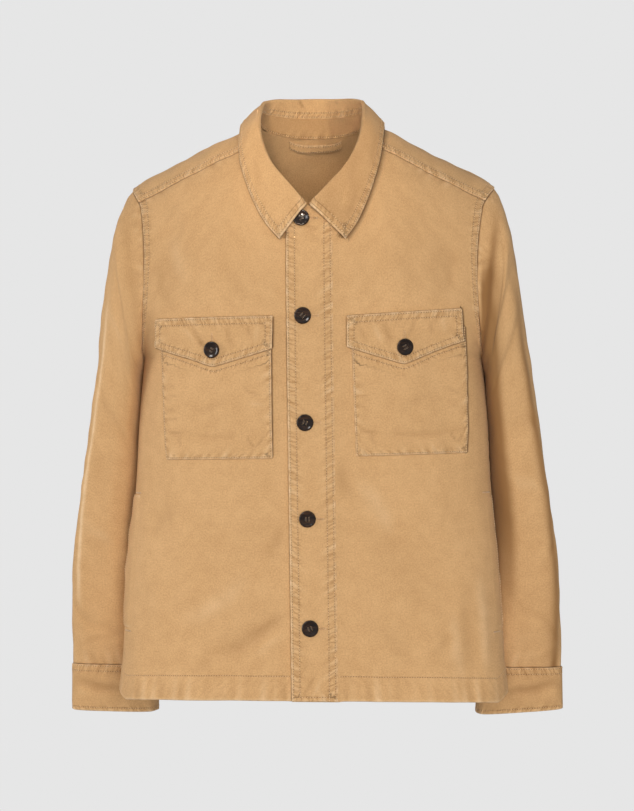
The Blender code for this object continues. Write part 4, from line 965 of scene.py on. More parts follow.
def makeYoke():
    look = yokeLook
    frontX, frontZ = armholeCrossing(form["yokeDrop"])
    firstTurn = float(turnOver(frontX, frontZ, front))
    backX = float(edgeWidth(np.array(form["backYoke"])))
    lastTurn = float(turnOver(backX, form["backYoke"], back))
    neckTurns = [float(turnOver(neckline[-1, 0], neckline[-1, 1], front))]
    neckWidths = [neckline[-1, 0]]
    backStations = [row for row in collarStations if row[0] == back][1:]
    for side, seamX, seamZ in [row[:3] for row in collarStations]:
        turn = float(turnOver(seamX, seamZ, side))
        if turn > neckTurns[0] + 1 and seamX >= backStations[0][1]:
            neckTurns.append(turn)
            neckWidths.append(seamX)
    side = spacing(0.185, look["step"], True, False)
    innerTurn = mix(neckTurns[0], neckTurns[-1], side)
    innerX = smoothCurve(neckTurns, neckWidths, innerTurn)
    outerTurn = mix(firstTurn, lastTurn, side)
    outerX = armholeWidthAtTurn(outerTurn)
    behind = spacing(0.19, look["step"], False, False)[1:]
    seamX = [row[1] for row in reversed(backStations)]
    seamZ = [row[2] for row in reversed(backStations)]
    behindX = backStations[0][1] * (1 - behind)
    behindTurn = turnOver(behindX, smoothCurve(seamX, seamZ, behindX), back)
    behindOuterX = backX * (1 - behind)
    behindOuterTurn = turnOver(behindOuterX, form["backYoke"], back)
    innerX, innerTurn = np.append(innerX, behindX), np.append(innerTurn, behindTurn)
    outerX, outerTurn = np.append(outerX, behindOuterX), np.append(outerTurn, behindOuterTurn)

    share = spacing(0.165, look["step"])[None, :]
    x = mix(innerX[:, None], outerX[:, None], share)
    turn = mix(innerTurn[:, None], outerTurn[:, None], share)
    seamLineX = mix(neckline[-1, 0], frontX, share[0])
    seamLineTurn = turnOver(seamLineX, ridgeHeight(seamLineX) - form["yokeDrop"], front)
    near = np.zeros(len(innerX))
    near[:len(side)] = np.clip(1 - side * look["sideSteps"], 0.0, 1.0)
    offX, offTurn = seamLineX - x[0], seamLineTurn - turn[0]
    x = x + near[:, None] * offX[None, :]
    turn = turn + near[:, None] * offTurn[None, :]
    x = np.concatenate((x, -x[-2::-1]))
    turn = np.concatenate((turn, turn[-2::-1]))
    points, normals = layOver(x, turn)
    panel = newPanel("yokePanel", points, normals, cloth["single"])
    panel["sideRows"] = len(side)
    along = edgeMeasures(panel, "lastColumn")[1][:, 0]
    armEnd = along[len(side) - 1] / along[-1]
    seam = {"raise": 0.0011, "width": 0.009, "rows": [0.0017, 0.0082], "pucker": 0.00055, "reach": 0.012,
            "roll": 0.0009, "wearAndPaintedShading": 0.3}
    looks = [
        ("firstRow", {**seam, "seed": 81}),
        ("lastRow", {**seam, "seed": 82}),
        ("lastColumn", {**armholeEdge, "seed": 83, "span": (0.0, armEnd)}),
        ("lastColumn", {**armholeEdge, "seed": 84, "span": (1 - armEnd, 1.0)}),
        ("lastColumn", {**seam, "seed": 85, "span": (armEnd, 1 - armEnd)}),
        ("lastColumn", {**shoulderTip, "mask": tipMask(points[:, -1, 2])[:, None]}),
    ]
    return dressAndSew(panel, looks, "body")


yokePanel = makeYoke()
print("body panels made")

# sleeves: outer x, outer z, half width, inner z, centre y, half depth, slant, share of depth in front
sleeveRings = [
    (0.242, -0.108, 0.013, -0.2885, 0.001, 0.0735, 0, 0.925),
    (0.2525, -0.16, 0.0185, -0.302, 0.003, 0.077, 1, 0.83),
    (0.262, -0.228, 0.023, -0.325, 0.008, 0.0775, 3, 0.7),
    (0.272, -0.3, 0.027, -0.36, 0.015, 0.075, 7, 0.64),
    (0.283, -0.37, 0.031, -0.408, 0.024, 0.07, 12, 0.68),
    (0.2932, -0.438, 0.034, -0.462, 0.034, 0.064, 17, 0.74),
    (0.3022, -0.503, 0.038, -0.518, 0.043, 0.056, 22, 0.82),
    (0.3085, -0.57, 0.043, -0.578, 0.052, 0.046, 22, 0.9),
    (0.311, -0.625, 0.048, -0.628, 0.06, 0.035, 17, 1.0),
    (0.3115, -0.667, 0.051, -0.668, 0.065, 0.027, 12, 1.0),
]
cuffBottomRing = (0.3125, -0.727, 0.053, -0.729, 0.066, 0.0235, 10, 1.0)
# angle (0 outside, 90 front), share of length, turn, spread, reach, depth
sleeveFolds = [
    (60, 0.16, 40, 0.055, 60, -0.0022), (75, 0.5, -50, 0.045, 70, -0.0024),
    (20, 0.62, 60, 0.045, 65, -0.0018), (200, 0.45, 40, 0.055, 70, -0.0035),
    (285, 0.55, -50, 0.05, 70, -0.004), (218, 0.25, 0, 0.12, 26, 0.0085),
]
sleeveCreases = {
    "left": [(70, 0.1, 65, 0.012, 30, -0.0016), (95, 0.3, 35, 0.014, 45, -0.0012),
             (60, 0.47, -40, 0.012, 40, -0.0014), (85, 0.58, -55, 0.013, 40, 0.0012),
             (45, 0.7, 50, 0.012, 35, -0.0013), (80, 0.86, -60, 0.012, 45, -0.0014), (60, 0.93, 45, 0.01, 40, 0.0011),
             (250, 0.35, 40, 0.014, 45, -0.0014), (280, 0.7, -50, 0.013, 45, -0.0014)],
    "right": [(80, 0.14, 50, 0.022, 35, -0.0006), (60, 0.26, -35, 0.014, 40, 0.0011),
              (90, 0.43, 45, 0.013, 45, -0.0014), (55, 0.56, -45, 0.012, 45, -0.0012),
              (95, 0.68, 40, 0.012, 35, 0.0011), (60, 0.84, 55, 0.012, 45, -0.0014),
              (85, 0.92, -50, 0.01, 40, -0.0012), (255, 0.4, -40, 0.014, 45, -0.0014),
              (285, 0.66, 50, 0.013, 45, -0.0013)],
}
cuffDrags = [
    (74, 0.42, 74, 0.1, 20, -0.001), (92, 0.5, 76, 0.09, 16, -0.0011), (108, 0.44, 74, 0.1, 18, 0.0008),
    (60, 0.6, 72, 0.12, 20, 0.0007), (120, 0.52, 76, 0.09, 16, -0.0009), (45, 0.4, -70, 0.12, 20, -0.0006),
    (250, 0.5, -70, 0.12, 40, -0.0009), (290, 0.45, 72, 0.1, 25, -0.0008),
]
sleeveLook = {
    "columns": 128, "stepsBetween": 15, "endFade": 0.12, "power": 3.4, "evening": 0.8, "facingLeast": 0.35,
    "girth": 0.4, "length": 0.6, "foldAngle": 88, "pressedAngle": 60, "pressedTurn": 9, "pressedWidth": 4.6,
    "pressedHeight": 0.0006, "pressedHighlight": 0.62, "paintedCreaseShade": 110, "paintedDragShade": 240, "cuffProud": 0.0013,
    "left": {"seed": 100, "waveSeed": 31, "seamFold": 0.007, "foldShade": 0.7, "innerShade": 0.95, "pressed": 0.0,
             "outerShade": 0.85, "cuffTilt": 0.006, "cuffDarkening": 0.17},
    "right": {"seed": 120, "waveSeed": 32, "seamFold": 0.002, "foldShade": 0.1, "innerShade": 0.12, "pressed": 1.0,
              "outerShade": 0.0, "cuffTilt": 0.0, "cuffDarkening": 0.09},
}
# fuller cloth under the armpit, rows as in the folds
armpitFill = [(205, 0.13, 0, 0.05, 40, 0.006)]
topFill = [(155, 0.05, 0, 0.05, 60, 0.005)]


def betweenRows(rows, steps):
    padded = np.concatenate(([2 * rows[0] - rows[1]], rows, [2 * rows[-1] - rows[-2]]))
    result = []
    for index in range(1, len(padded) - 2):
        before, first, second, after = padded[index - 1:index + 3]
        for share in np.arange(steps) / steps:
            result.append(0.5 * (2 * first + (second - before) * share
                                 + (2 * before - 5 * first + 4 * second - after) * share ** 2
                                 + (3 * first - before - 3 * second + after) * share ** 3))
    return np.array(result + [rows[-1]])


def sleeveRing(row, turns):
    look = sleeveLook
    outerX, outerZ, halfWidth, innerZ, centreY, halfDepth, slant, frontShare = row
    slant = math.radians(slant)
    spread = look["power"] / (look["power"] - 1)
    lean = halfDepth * frontShare * math.sin(slant)
    reach = (halfWidth ** spread + lean ** spread) ** (1 / spread)
    middle = np.array((outerX - reach, centreY, (outerZ + innerZ) / 2))
    out = np.array((halfWidth, 0.0, (outerZ - innerZ) / 2))
    ahead = halfDepth * np.array((math.sin(slant), -math.cos(slant), 0.0))
    along, aside = np.cos(turns)[:, None], np.sin(turns)[:, None]
    bend = 2 / look["power"]
    depth = np.where(aside > 0, frontShare, 1.0)
    return (middle + np.sign(along) * np.abs(along) ** bend * out
            + np.sign(aside) * np.abs(aside) ** bend * depth * ahead)


def sleeveFoldDepth(turns, along, rows):
    total = np.zeros((len(along), len(turns)))
    for angle, place, turn, spread, reach, depth in rows:
        aside = (np.degrees(turns) - angle + 180) % 360 - 180
        bend = place + aside / 360 * math.tan(math.radians(turn)) * 0.35
        across = (along[:, None] - bend[None, :]) / spread
        total += depth * np.exp(-across ** 2) * np.exp(-(aside[None, :] / reach) ** 2)
    return total


# armhole seam of one side as a loop, from the armpit up the front and down the back
def armholeLoop():
    lowFront, lowBack = frontLeft["lowRows"] - 1, backPanel["lowRows"]
    return [np.concatenate((
        frontLeft[key][lowFront:-1, -1], yokePanel[key][:yokePanel["sideRows"], -1],
        backPanel[key][lowBack:-1, -1][::-1])) for key in ("base", "normals")]


def bell(value, middle, width):
    return np.exp(-((value - middle) / width) ** 2)


def makeSleeve(word, hand):
    look, side = sleeveLook, sleeveLook[word]
    loopPoints, loopNormals = armholeLoop()
    top, bottom = loopPoints[:, 2].max(), loopPoints[:, 2].min()
    height = np.clip((loopPoints[:, 2] - (top + bottom) / 2) / ((top - bottom) / 2), -1.0, 1.0)
    signed = np.arccos(height)
    signed[np.argmax(loopPoints[:, 2]) + 1:] *= -1
    signed = np.append(signed, -math.pi)[::-1]
    loopPoints = np.concatenate((loopPoints, loopPoints[:1]))[::-1]
    loopNormals = np.concatenate((loopNormals, loopNormals[:1]))[::-1]
    even = np.arange(look["columns"]) * 2 * math.pi / look["columns"]
    turns = even - look["evening"] * np.sin(4 * even) / 4
    at = np.where(turns <= math.pi, turns, turns - 2 * math.pi)
    seam = np.stack([np.interp(at, signed, loopPoints[:, axis]) for axis in range(3)], axis=1)
    seamNormals = unit(np.stack([np.interp(at, signed, loopNormals[:, axis]) for axis in range(3)], axis=1))

    low = softStep((-np.cos(turns) - 0.55) / 0.35)[:, None]
    aside = np.array((1.0, 0.0, 0.0))
    aside = mix(unit(aside - seamNormals * seamNormals[:, :1] * (1 - low)), aside, low)
    start = seam + aside * (cloth["seamGap"] + (cloth["single"] + cloth["seamGap"]) * low)
    rings = np.array([start] + [sleeveRing(row, turns) for row in sleeveRings])
    rings = betweenRows(rings, look["stepsBetween"])
    normals = tubeNormals(rings)
    along = np.linspace(0.0, 1.0, len(rings))
    down, degrees = along[:, None], np.degrees(turns)[None, :]
    ends = softStep(down / look["endFade"]) * softStep((1 - down) / look["endFade"])
    facing = (look["facingLeast"] + (1 - look["facingLeast"]) * np.sin(turns) ** 2)[None, :]
    folds = sleeveFoldDepth(turns, along, sleeveFolds[:-1]) * facing + sleeveFoldDepth(turns, along, sleeveFolds[-1:])
    folds = (folds + sleeveFoldDepth(turns, along, armpitFill)) * ends
    folds = folds + sleeveFoldDepth(turns, along, topFill) * softStep(down / 0.02)
    creases = sleeveFoldDepth(turns, along, sleeveCreases[word]) * np.sqrt(ends) * facing
    across, length = np.broadcast_arrays(degrees / 360 * look["girth"], down * look["length"])
    waves = unevenness(across, length, side["waveSeed"]) * ends
    # the fold beside the armhole seam, larger on one side, and the pressed crease down the other sleeve; masks for
    # painted shade on the inner side next to the body, on the outer side and in the fold valley
    folds = folds - side["seamFold"] * (bell(down, 0.042, 0.026) * bell(degrees, look["foldAngle"], 48))
    valley = bell(down, 0.052, 0.016) * bell(degrees, look["foldAngle"], 42)
    turnIn = 76 + 22 * softStep(down / 0.5)
    inner = softStep((degrees - turnIn) / 24) * softStep((200 - degrees) / 20) * softStep((0.92 - down) / 0.3)
    inner = inner * softStep((down - 0.012) / 0.018)
    pressed = bell(degrees - look["pressedAngle"], look["pressedTurn"] * down, look["pressedWidth"])
    pressed = pressed * softStep((down - 0.2) / 0.12) * softStep((0.86 - down) / 0.1) * side["pressed"]
    outer = bell(degrees, 54, 15) * softStep((down - 0.1) / 0.3)
    creases = creases + look["pressedHeight"] * pressed
    rings = rings + normals * (folds + creases + waves * np.abs(np.cos(turns / 2))[None, :])[..., None]
    normals[0] = unit(mix(seamNormals, normals[0], low))

    mirror = np.array((hand, 1.0, 1.0))
    seed = side["seed"]
    panel = newPanel("sleeve" + word.title(), rings * mirror, normals * mirror, cloth["single"], True)
    # painted highlight along the pressed crease; painted shade on the outer side, in the creases, in the fold valley
    # and on the inner side next to the body; paler crease ridges
    panel["wearAndPaintedShading"] += (look["pressedHighlight"] * pressed - side["outerShade"] * outer + look["paintedCreaseShade"] * creases
                      - side["foldShade"] * valley - side["innerShade"] * inner)
    upper = 0.25 + 0.75 * softStep((np.cos(turns) + 0.8) / 0.5)[None, :]
    looks = [
        ("firstRow", {**shoulderTip, "mask": tipMask(seam[:, 2])[None, :]}),
        ("firstRow", {"drop": 0.0008, "pucker": 0.0005, "reach": 0.014, "pitch": 0.012, "seed": seed, "wearAndPaintedShading": 0.0}),
        # painted shadow along the armhole seam and along the cuff seam
        ("firstRow", {"paintedShadow": (0.0032, 0.8), "wearAndPaintedShading": 0.0, "mask": upper}),
        ("lastRow", {"pucker": 0.0006, "reach": 0.02, "pitch": 0.015, "slant": 0.1, "seed": seed + 1, "wearAndPaintedShading": 0.0,
                     "paintedShadow": (0.0014, 0.45)}),
    ]
    dressAndSew(panel, looks, "sleeves")

    share = spacing(0.06, 0.003)
    bottom = np.array(cuffBottomRing)
    bottom[1] += side["cuffTilt"]
    ringRows = [mix(np.array(sleeveRings[-1]), bottom, part) for part in share]
    cuff = np.array([sleeveRing(row, turns) for row in ringRows])
    cuffNormals = tubeNormals(cuff)
    cuff[0] -= (0.0, 0.0, 2 * cloth["seamGap"])
    dragged = sleeveFoldDepth(turns, share, cuffDrags)
    cuff = cuff + cuffNormals * (look["cuffProud"] + dragged)[..., None]
    cuffPanel = newPanel("cuff" + word.title(), cuff * mirror, cuffNormals * mirror, cloth["double"], True)
    # painted shade in the drag creases, paler on their ridges, and the cuffs a little darker all over
    cuffPanel["wearAndPaintedShading"] += look["paintedDragShade"] * dragged - side["cuffDarkening"]
    cuffLooks = [
        ("firstRow", {"rows": [0.0018, 0.0082], "roll": 0.001, "pucker": 0.00045, "reach": 0.012, "seed": seed + 2,
                      "wearAndPaintedShading": 0.6}),
        ("lastRow", {"rows": [0.0048], "roll": 0.0012, "pucker": 0.00045, "reach": 0.01, "seed": seed + 3,
                     "wearAndPaintedShading": 0.7}),
    ]
    dressAndSew(cuffPanel, cuffLooks, "sleeves")
    return panel, cuffPanel, turns


sleeves = {}
for word, hand in bothSides:
    sleevePanel, cuffPanel, sleeveTurns = makeSleeve(word, hand)
    sleeves[word] = (sleevePanel, cuffPanel)
    makeShell(sleevePanel, "sleeve_" + word)
    makeShell(cuffPanel, "cuff_" + word)
print("sleeves made")

# sleeve vent: a strip behind the outer edge of the sleeve
ventLook = {"angles": (322, 345), "topShare": 0.76, "lift": 0.0022}


def onRing(grid, angle):
    place = np.interp(np.radians(angle), sleeveTurns, np.arange(len(sleeveTurns)))
    first = np.floor(place).astype(int)
    part = (place - first)[None, :, None]
    return mix(grid[:, first % grid.shape[1]], grid[:, (first + 1) % grid.shape[1]], part)


def makeVent(word, hand):
    look = ventLook
    sleevePanel = sleeves[word][0]
    rows = np.arange(int(look["topShare"] * (len(sleevePanel["points"]) - 1)), len(sleevePanel["points"]))
    angle = mix(look["angles"][0], look["angles"][1], spacing(0.018, 0.0018))
    normals = unit(onRing(sleevePanel["normals"][rows], angle))
    points = onRing(sleevePanel["points"][rows], angle) + normals * look["lift"]
    panel = newPanel("vent" + word.title(), points, normals, cloth["strip"])
    seed = 140 if hand > 0 else 150
    looks = [(edge, {"rows": [0.0018], "roll": 0.0009, "pucker": 0.0003, "seed": seed + step, "wearAndPaintedShading": 0.6,
                     "trim": (0.002, 0.002)})
             for step, edge in enumerate(("firstColumn", "lastColumn", "firstRow"))]
    return dressAndSew(panel, looks, "sleeves")


for word, hand in bothSides:
    makeShell(makeVent(word, hand), "vent_" + word)

# collar
collarLook = {
    "neckCentreY": -0.015, "bulge": 0.0018, "standShare": 0.52, "rollRadius": 0.0034, "steps": 9,
    "sectionSteps": 6, "leftTip": 0.008, "rightTip": 0.0038, "tipWeights": (1.0, 0.6, 0.25),
    "thickness": 0.0019, "leftShade": 0.22, "standShade": 0.35,
}
# shaded creases of the collar, in millimetres: start x, start z, end x, end z, bow, spread, then tone: painted shade
# along the crease where below zero, a paler line where above
collarCreases = {
    front: [
        (62, -20, 50, -85, 4, 7, -0.16), (58, -75, 46, -112, -2, 2.6, -0.2), (50, -66, 43, -100, 2, 2.4, 0.16),
        (82, 0, 78, -50, 2, 5, -0.18), (-70, -30, -58, -70, 2, 5, -0.1),
    ],
    back: [
        (-20.9, 52.3, -14.5, 40.8, 0.6, 1.6, -0.6), (25.5, 52, 29, 43, 0, 1.6, -0.35), (-58, 40, -50, 10, 2, 6, -0.4),
    ],
}


def collarLines():
    half = []
    for side, seamX, seamZ, inset, rise, lean, edgeSide, edgeX, edgeZ, edgeLift in collarStations:
        seam = lay(seamX, seamZ, side)[0]
        inward = np.array((seam[0], seam[1], 0.0))
        inward = -inward / max(norm(inward), 1e-6)
        base = seam + inward * inset
        roll = base + inward * lean + np.array((0.0, 0.0, rise))
        half.append(np.array((base, roll, lay(edgeX, edgeZ, edgeSide, edgeLift)[0])))
    half = np.array(half)
    mirrored = half[-2::-1] * np.array((-1.0, 1.0, 1.0))
    # the two points hang a little to one side
    for side, tip in ((half, collarLook["leftTip"]), (mirrored[::-1], collarLook["rightTip"])):
        for place, weight in enumerate(collarLook["tipWeights"]):
            side[place, 2, 0] += tip * weight
    return np.concatenate((half, mirrored))


def leafSection(base, roll, edge):
    look = collarLook
    halfway = mix(roll, edge, 0.5)
    outward = unit(np.array((halfway[0], halfway[1] - look["neckCentreY"], 0.0)))
    up = np.array((0.0, 0.0, 1.0))
    radius = look["rollRadius"]
    over = roll + outward * radius * 2
    section = [
        mix(base, roll, look["standShare"]) + unit(roll - base) * 2 * cloth["seamGap"],
        mix(base, roll, 0.82), roll, roll + outward * radius + up * radius * 0.75, over - up * 0.0012,
    ]
    for share in (0.22, 0.45, 0.72, 1.0):
        section.append(mix(over, edge, share) + outward * look["bulge"] * math.sin(math.pi * share))
    return np.array(section)


def makeCollar():
    look = collarLook
    stations = betweenRows(collarLines(), look["steps"])
    sections = np.array([leafSection(*station) for station in stations])
    leaf = betweenRows(sections.swapaxes(0, 1), look["sectionSteps"]).swapaxes(0, 1)
    normals = gridNormals(leaf, False)
    if normals[len(leaf) // 2, -2, 1] < 0:
        normals = -normals
    panel = newPanel("collarLeaf", leaf, normals, look["thickness"])
    edge = {"rows": [0.002, 0.0084], "roll": 0.0012, "pucker": 0.0004, "reach": 0.01, "wearAndPaintedShading": 0.8,
            "raise": 0.0005, "width": 0.0092}
    looks = [
        ("lastColumn", {**edge, "seed": 161, "trim": (0.003, 0.003)}),
        ("firstRow", {**edge, "seed": 162, "trim": (0.04, 0.003)}),
        ("lastRow", {**edge, "seed": 163, "trim": (0.04, 0.003)}),
        ("firstColumn", {"rows": [0.0018, 0.007], "pucker": 0.0003, "seed": 164, "wearAndPaintedShading": 0.3, "span": (0.12, 0.88)}),
    ]
    behind = softStep((leaf[..., 1] - 0.03) / 0.01)
    x, z = leaf[..., 0], leaf[..., 2]
    # painted shade along the collar's creases (paler lines where the tone is above zero), and painted shade over the
    # leaf towards +x
    panel["wearAndPaintedShading"] += behind * troughs(x, z, collarCreases[back])
    panel["wearAndPaintedShading"] += (1 - behind) * troughs(x, z, collarCreases[front])
    panel["wearAndPaintedShading"] -= look["leftShade"] * (1 - behind) * softStep(x / 0.03)
    dressAndSew(panel, looks, "collar")

    skip = look["steps"]
    shares = spacing(0.024, 0.0026) * look["standShare"]
    stand = np.array([[mix(base, roll, share) for share in shares] for base, roll, _ in stations[skip:-skip]])
    standNormals = gridNormals(stand, False)
    if standNormals[len(stand) // 2, 1, 1] > 0:
        standNormals = -standNormals
    standPanel = newPanel("collarStand", stand, standNormals, cloth["single"])
    # painted shade over the whole stand
    standPanel["wearAndPaintedShading"] -= look["standShade"]
    standEdge = {"rows": [0.0018], "pucker": 0.0003, "seed": 165, "wearAndPaintedShading": 0.4}
    dressAndSew(standPanel, [("firstColumn", standEdge)], "collar")
    return panel, standPanel


collarLeaf, collarStand = makeCollar()
makeShell(collarLeaf, "collar_leaf")
makeShell(collarStand, "collar_stand")

# hanger loop inside the back neck
loopLook = {"halfLength": 0.0335, "width": 0.009, "drop": 0.006, "endRise": 0.0045, "hang": 0.0012}


def makeLoop():
    look = loopLook
    x = look["halfLength"] * (2 * spacing(0.067, 0.002) - 1)[:, None]
    down = spacing(look["width"], 0.0015)[None, :]
    share = np.abs(x / look["halfLength"])
    z = collarStations[-1][2] - look["drop"] + look["endRise"] * share ** 4 - down * look["width"]
    inward = cloth["single"] + cloth["patchGap"] + look["hang"] * (1 - share ** 4)
    points, normals = lay(x, z, back, -inward)
    panel = newPanel("hangerLoop", points, -normals, cloth["strip"])
    panel["base"] = points - normals * cloth["strip"]
    edge = {"rows": [0.0016], "roll": 0.0008, "seed": 171, "wearAndPaintedShading": 0.5}
    dressAndSew(panel, [("firstColumn", edge), ("lastColumn", edge)], "collar")
    return panel


makeShell(makeLoop(), "hanger_loop")
print("collar made")

# button band
bandLook = {"step": 0.003, "topDrop": 0.004, "lift": cloth["lapRaise"] + cloth["layGap"] + cloth["strip"]}


def creasePanel(panel, rows):
    x, z = panel["base"][..., 0], panel["base"][..., 2]
    panel["relief"] += troughs(x, z, rows) / 1000
    # painted shade along each crease, paler where the tone is above zero
    panel["wearAndPaintedShading"] += troughs(x, z, [row[:6] + row[7:] for row in rows])


# in millimetres as on the body, then tone: painted shade along the crease where below zero, a paler ridge where above
# (partly abrasion, partly painted highlight)
bandCreases = [
    (-5.9, -686, 9.5, -660, 1, 2.2, -0.7, -0.3), (4, -689, 16, -667, 1, 2.2, 0.6, 0.22),
    (-12, -662, 0, -648, 1, 2.4, -0.5, -0.2), (-4, -640, 12, -655, 1, 3, -0.5, -0.14),
    (-6, -118, 14, -126, 1, 2.2, -0.6, -0.26), (0, -128, 18, -140, 1, 2.6, -0.5, -0.16),
]


def makeBand():
    z = mix(form["hem"], form["neckFront"] - bandLook["topDrop"], spacing(0.59, bandLook["step"]))[:, None]
    x = bandEdge(z) + form["bandWidth"] * spacing(form["bandWidth"], 0.0024)[None, :]
    points, normals = lay(x, z, front, bandLook["lift"])
    panel = newPanel("buttonBand", points, normals, cloth["strip"])
    looks = [
        ("firstColumn", {"rows": [0.0024, 0.0102], "roll": 0.0011, "raise": 0.0006, "width": 0.011, "pucker": 0.0006,
                         "reach": 0.014, "seed": 181, "wearAndPaintedShading": 0.8, "trim": (0.004, 0.002)}),
        ("lastColumn", {"rows": [0.0022, 0.0098], "drop": 0.0011, "dropReach": 0.007, "pucker": 0.00055,
                        "reach": 0.014, "seed": 182, "wearAndPaintedShading": 0.3, "trim": (0.002, 0.002)}),
        ("firstRow", {"rows": [0.0055], "roll": 0.0011, "raise": 0.0004, "width": 0.01, "pucker": 0.0004,
                      "reach": 0.012, "seed": 183, "wearAndPaintedShading": 0.5, "trim": (0.01, 0.01)}),
    ]
    creasePanel(panel, bandCreases)
    return dressAndSew(panel, looks, "body")


buttonBand = makeBand()

# chest pockets and flaps: each side as it hangs
pocketLook = {
    "top": -0.242, "lift": cloth["patchGap"] + cloth["strip"], "step": 0.0027, "gape": 0.003, "flapRow": 0.0062,
    "gapePower": 7, "sag": 0.0011, "sagPlace": 0.155, "sagWidth": 0.03, "rowInset": 0.0018, "seed": {1: 200, -1: 220},
    1: {"topX": (0.0522, 0.1866), "bottomX": (0.0583, 0.191), "bottomZ": (-0.3981, -0.3946)},
    -1: {"topX": (0.0436, 0.1828), "bottomX": (0.0422, 0.1752), "bottomZ": (-0.4009, -0.4034)},
}
flapLook = {
    "lift": 2 * cloth["patchGap"] + cloth["strip"] + cloth["single"], "step": 0.0025, "buttonUp": 0.021,
    "endLift": 0.0026, "endReach": 0.07, "curl": 0.0012, "seed": {1: 240, -1: 260},
    1: {"x": (0.0474, 0.1831), "topZ": (-0.2301, -0.22), "height": (0.037, 0.0373), "point": 0.0629},
    -1: {"x": (0.0418, 0.1868), "topZ": (-0.2301, -0.232), "height": (0.039, 0.0335), "point": 0.06},
}


# small creases of the flaps and pockets, in millimetres as on the body, then tone: painted shade along the crease where
# below zero, a paler ridge where above (partly abrasion, partly painted highlight)
flapCreases = {
    -1: [(-141, -241, -124, -268, 2, 4.2, -1, -0.34), (-153, -238, -134, -262, 1, 3, 0.5, 0.22),
         (-168, -239, -144, -240, 0, 2.6, -0.4, -0.22), (-133, -259, -126, -266, 0, 1.4, -0.6, -0.5),
         (-96, -240, -91, -266, 2, 3, -0.7, -0.24), (-72, -240, -68, -255, 1, 1.8, -0.6, -0.34),
         (-60, -243, -63, -262, 0, 2.4, 0.5, 0.2)],
    1: [(92, -236, 104, -262, 2, 3.6, -0.9, -0.3), (80, -238, 90, -262, 1, 3, 0.5, 0.2),
        (128, -232, 119, -256, -2, 3, -0.8, -0.26), (146, -231, 151, -252, 1, 2.4, -0.6, -0.24),
        (62, -241, 71, -262, 0, 2.2, -0.5, -0.2), (160, -230, 166, -250, 0, 2.2, 0.5, 0.18)],
}
pocketCreases = {
    -1: [(-174, -369, -152, -371, 1, 1.6, -0.6, -0.34), (-150, -371, -80, -374, 3, 3, -0.5, -0.14),
         (-158, -373, -155, -389, 1, 2, -0.5, -0.24), (-72, -374, -63, -388, 2, 1.4, -0.7, -0.42),
         (-63, -388, -52, -373, 1, 1.4, -0.7, -0.38), (-78, -315, -55, -325, 2, 2.2, -0.6, -0.24),
         (-70, -334, -50, -336, 1, 2.2, 0.5, 0.2), (-175, -312, -163, -315, 0, 1.4, -0.5, -0.3),
         (-175, -327, -162, -326, 0, 1.4, -0.5, -0.3), (-175, -341, -165, -343, 0, 1.3, -0.5, -0.28),
         (-175, -355, -160, -354, 0, 1.4, -0.5, -0.3), (-140, -345, -95, -325, 4, 6, -0.8, -0.12)],
    1: [(60, -366, 84, -370, 1, 1.8, -0.6, -0.32), (84, -370, 186, -366, 4, 2.8, -0.6, -0.18),
        (76, -371, 82, -386, 1, 1.8, -0.5, -0.26), (172, -368, 180, -382, 1, 1.4, -0.7, -0.38),
        (180, -382, 188, -366, 1, 1.4, -0.7, -0.36), (58, -310, 70, -312, 0, 1.4, -0.5, -0.26),
        (58, -327, 72, -326, 0, 1.4, -0.5, -0.28), (59, -345, 71, -347, 0, 1.3, -0.5, -0.26),
        (110, -350, 150, -322, -4, 6, -0.8, -0.12), (166, -312, 186, -322, 2, 2.2, -0.6, -0.22)],
}


# across a flap: x, top and bottom height
def flapLines(across, hand):
    side = flapLook[hand]
    ends = np.where(across < 0.5, side["height"][0], side["height"][1])
    drop = mix(side["point"], ends, np.sqrt((2 * across - 1) ** 2 + 0.0012) - 0.0006)
    top = mix(*side["topZ"], across)
    return hand * mix(*side["x"], across), top, top - drop


def flapButtonPlace(hand):
    x, top, _ = flapLines(np.array(0.5), hand)
    return float(x), float(top) - flapLook[hand]["point"] + flapLook["buttonUp"]


# the pocket edge on the same hand of both pockets stands away from the front
def pocketLift(across, high, hand):
    look = pocketLook
    away = across if hand > 0 else 1 - across
    gape = look["gape"] * away ** look["gapePower"] * softStep(high / 0.25) * softStep((1.25 - high) / 0.3)
    sag = -look["sag"] * bell(high, look["sagPlace"], look["sagWidth"]) * np.sin(math.pi * across) ** 0.5
    return look["lift"] + gape + sag


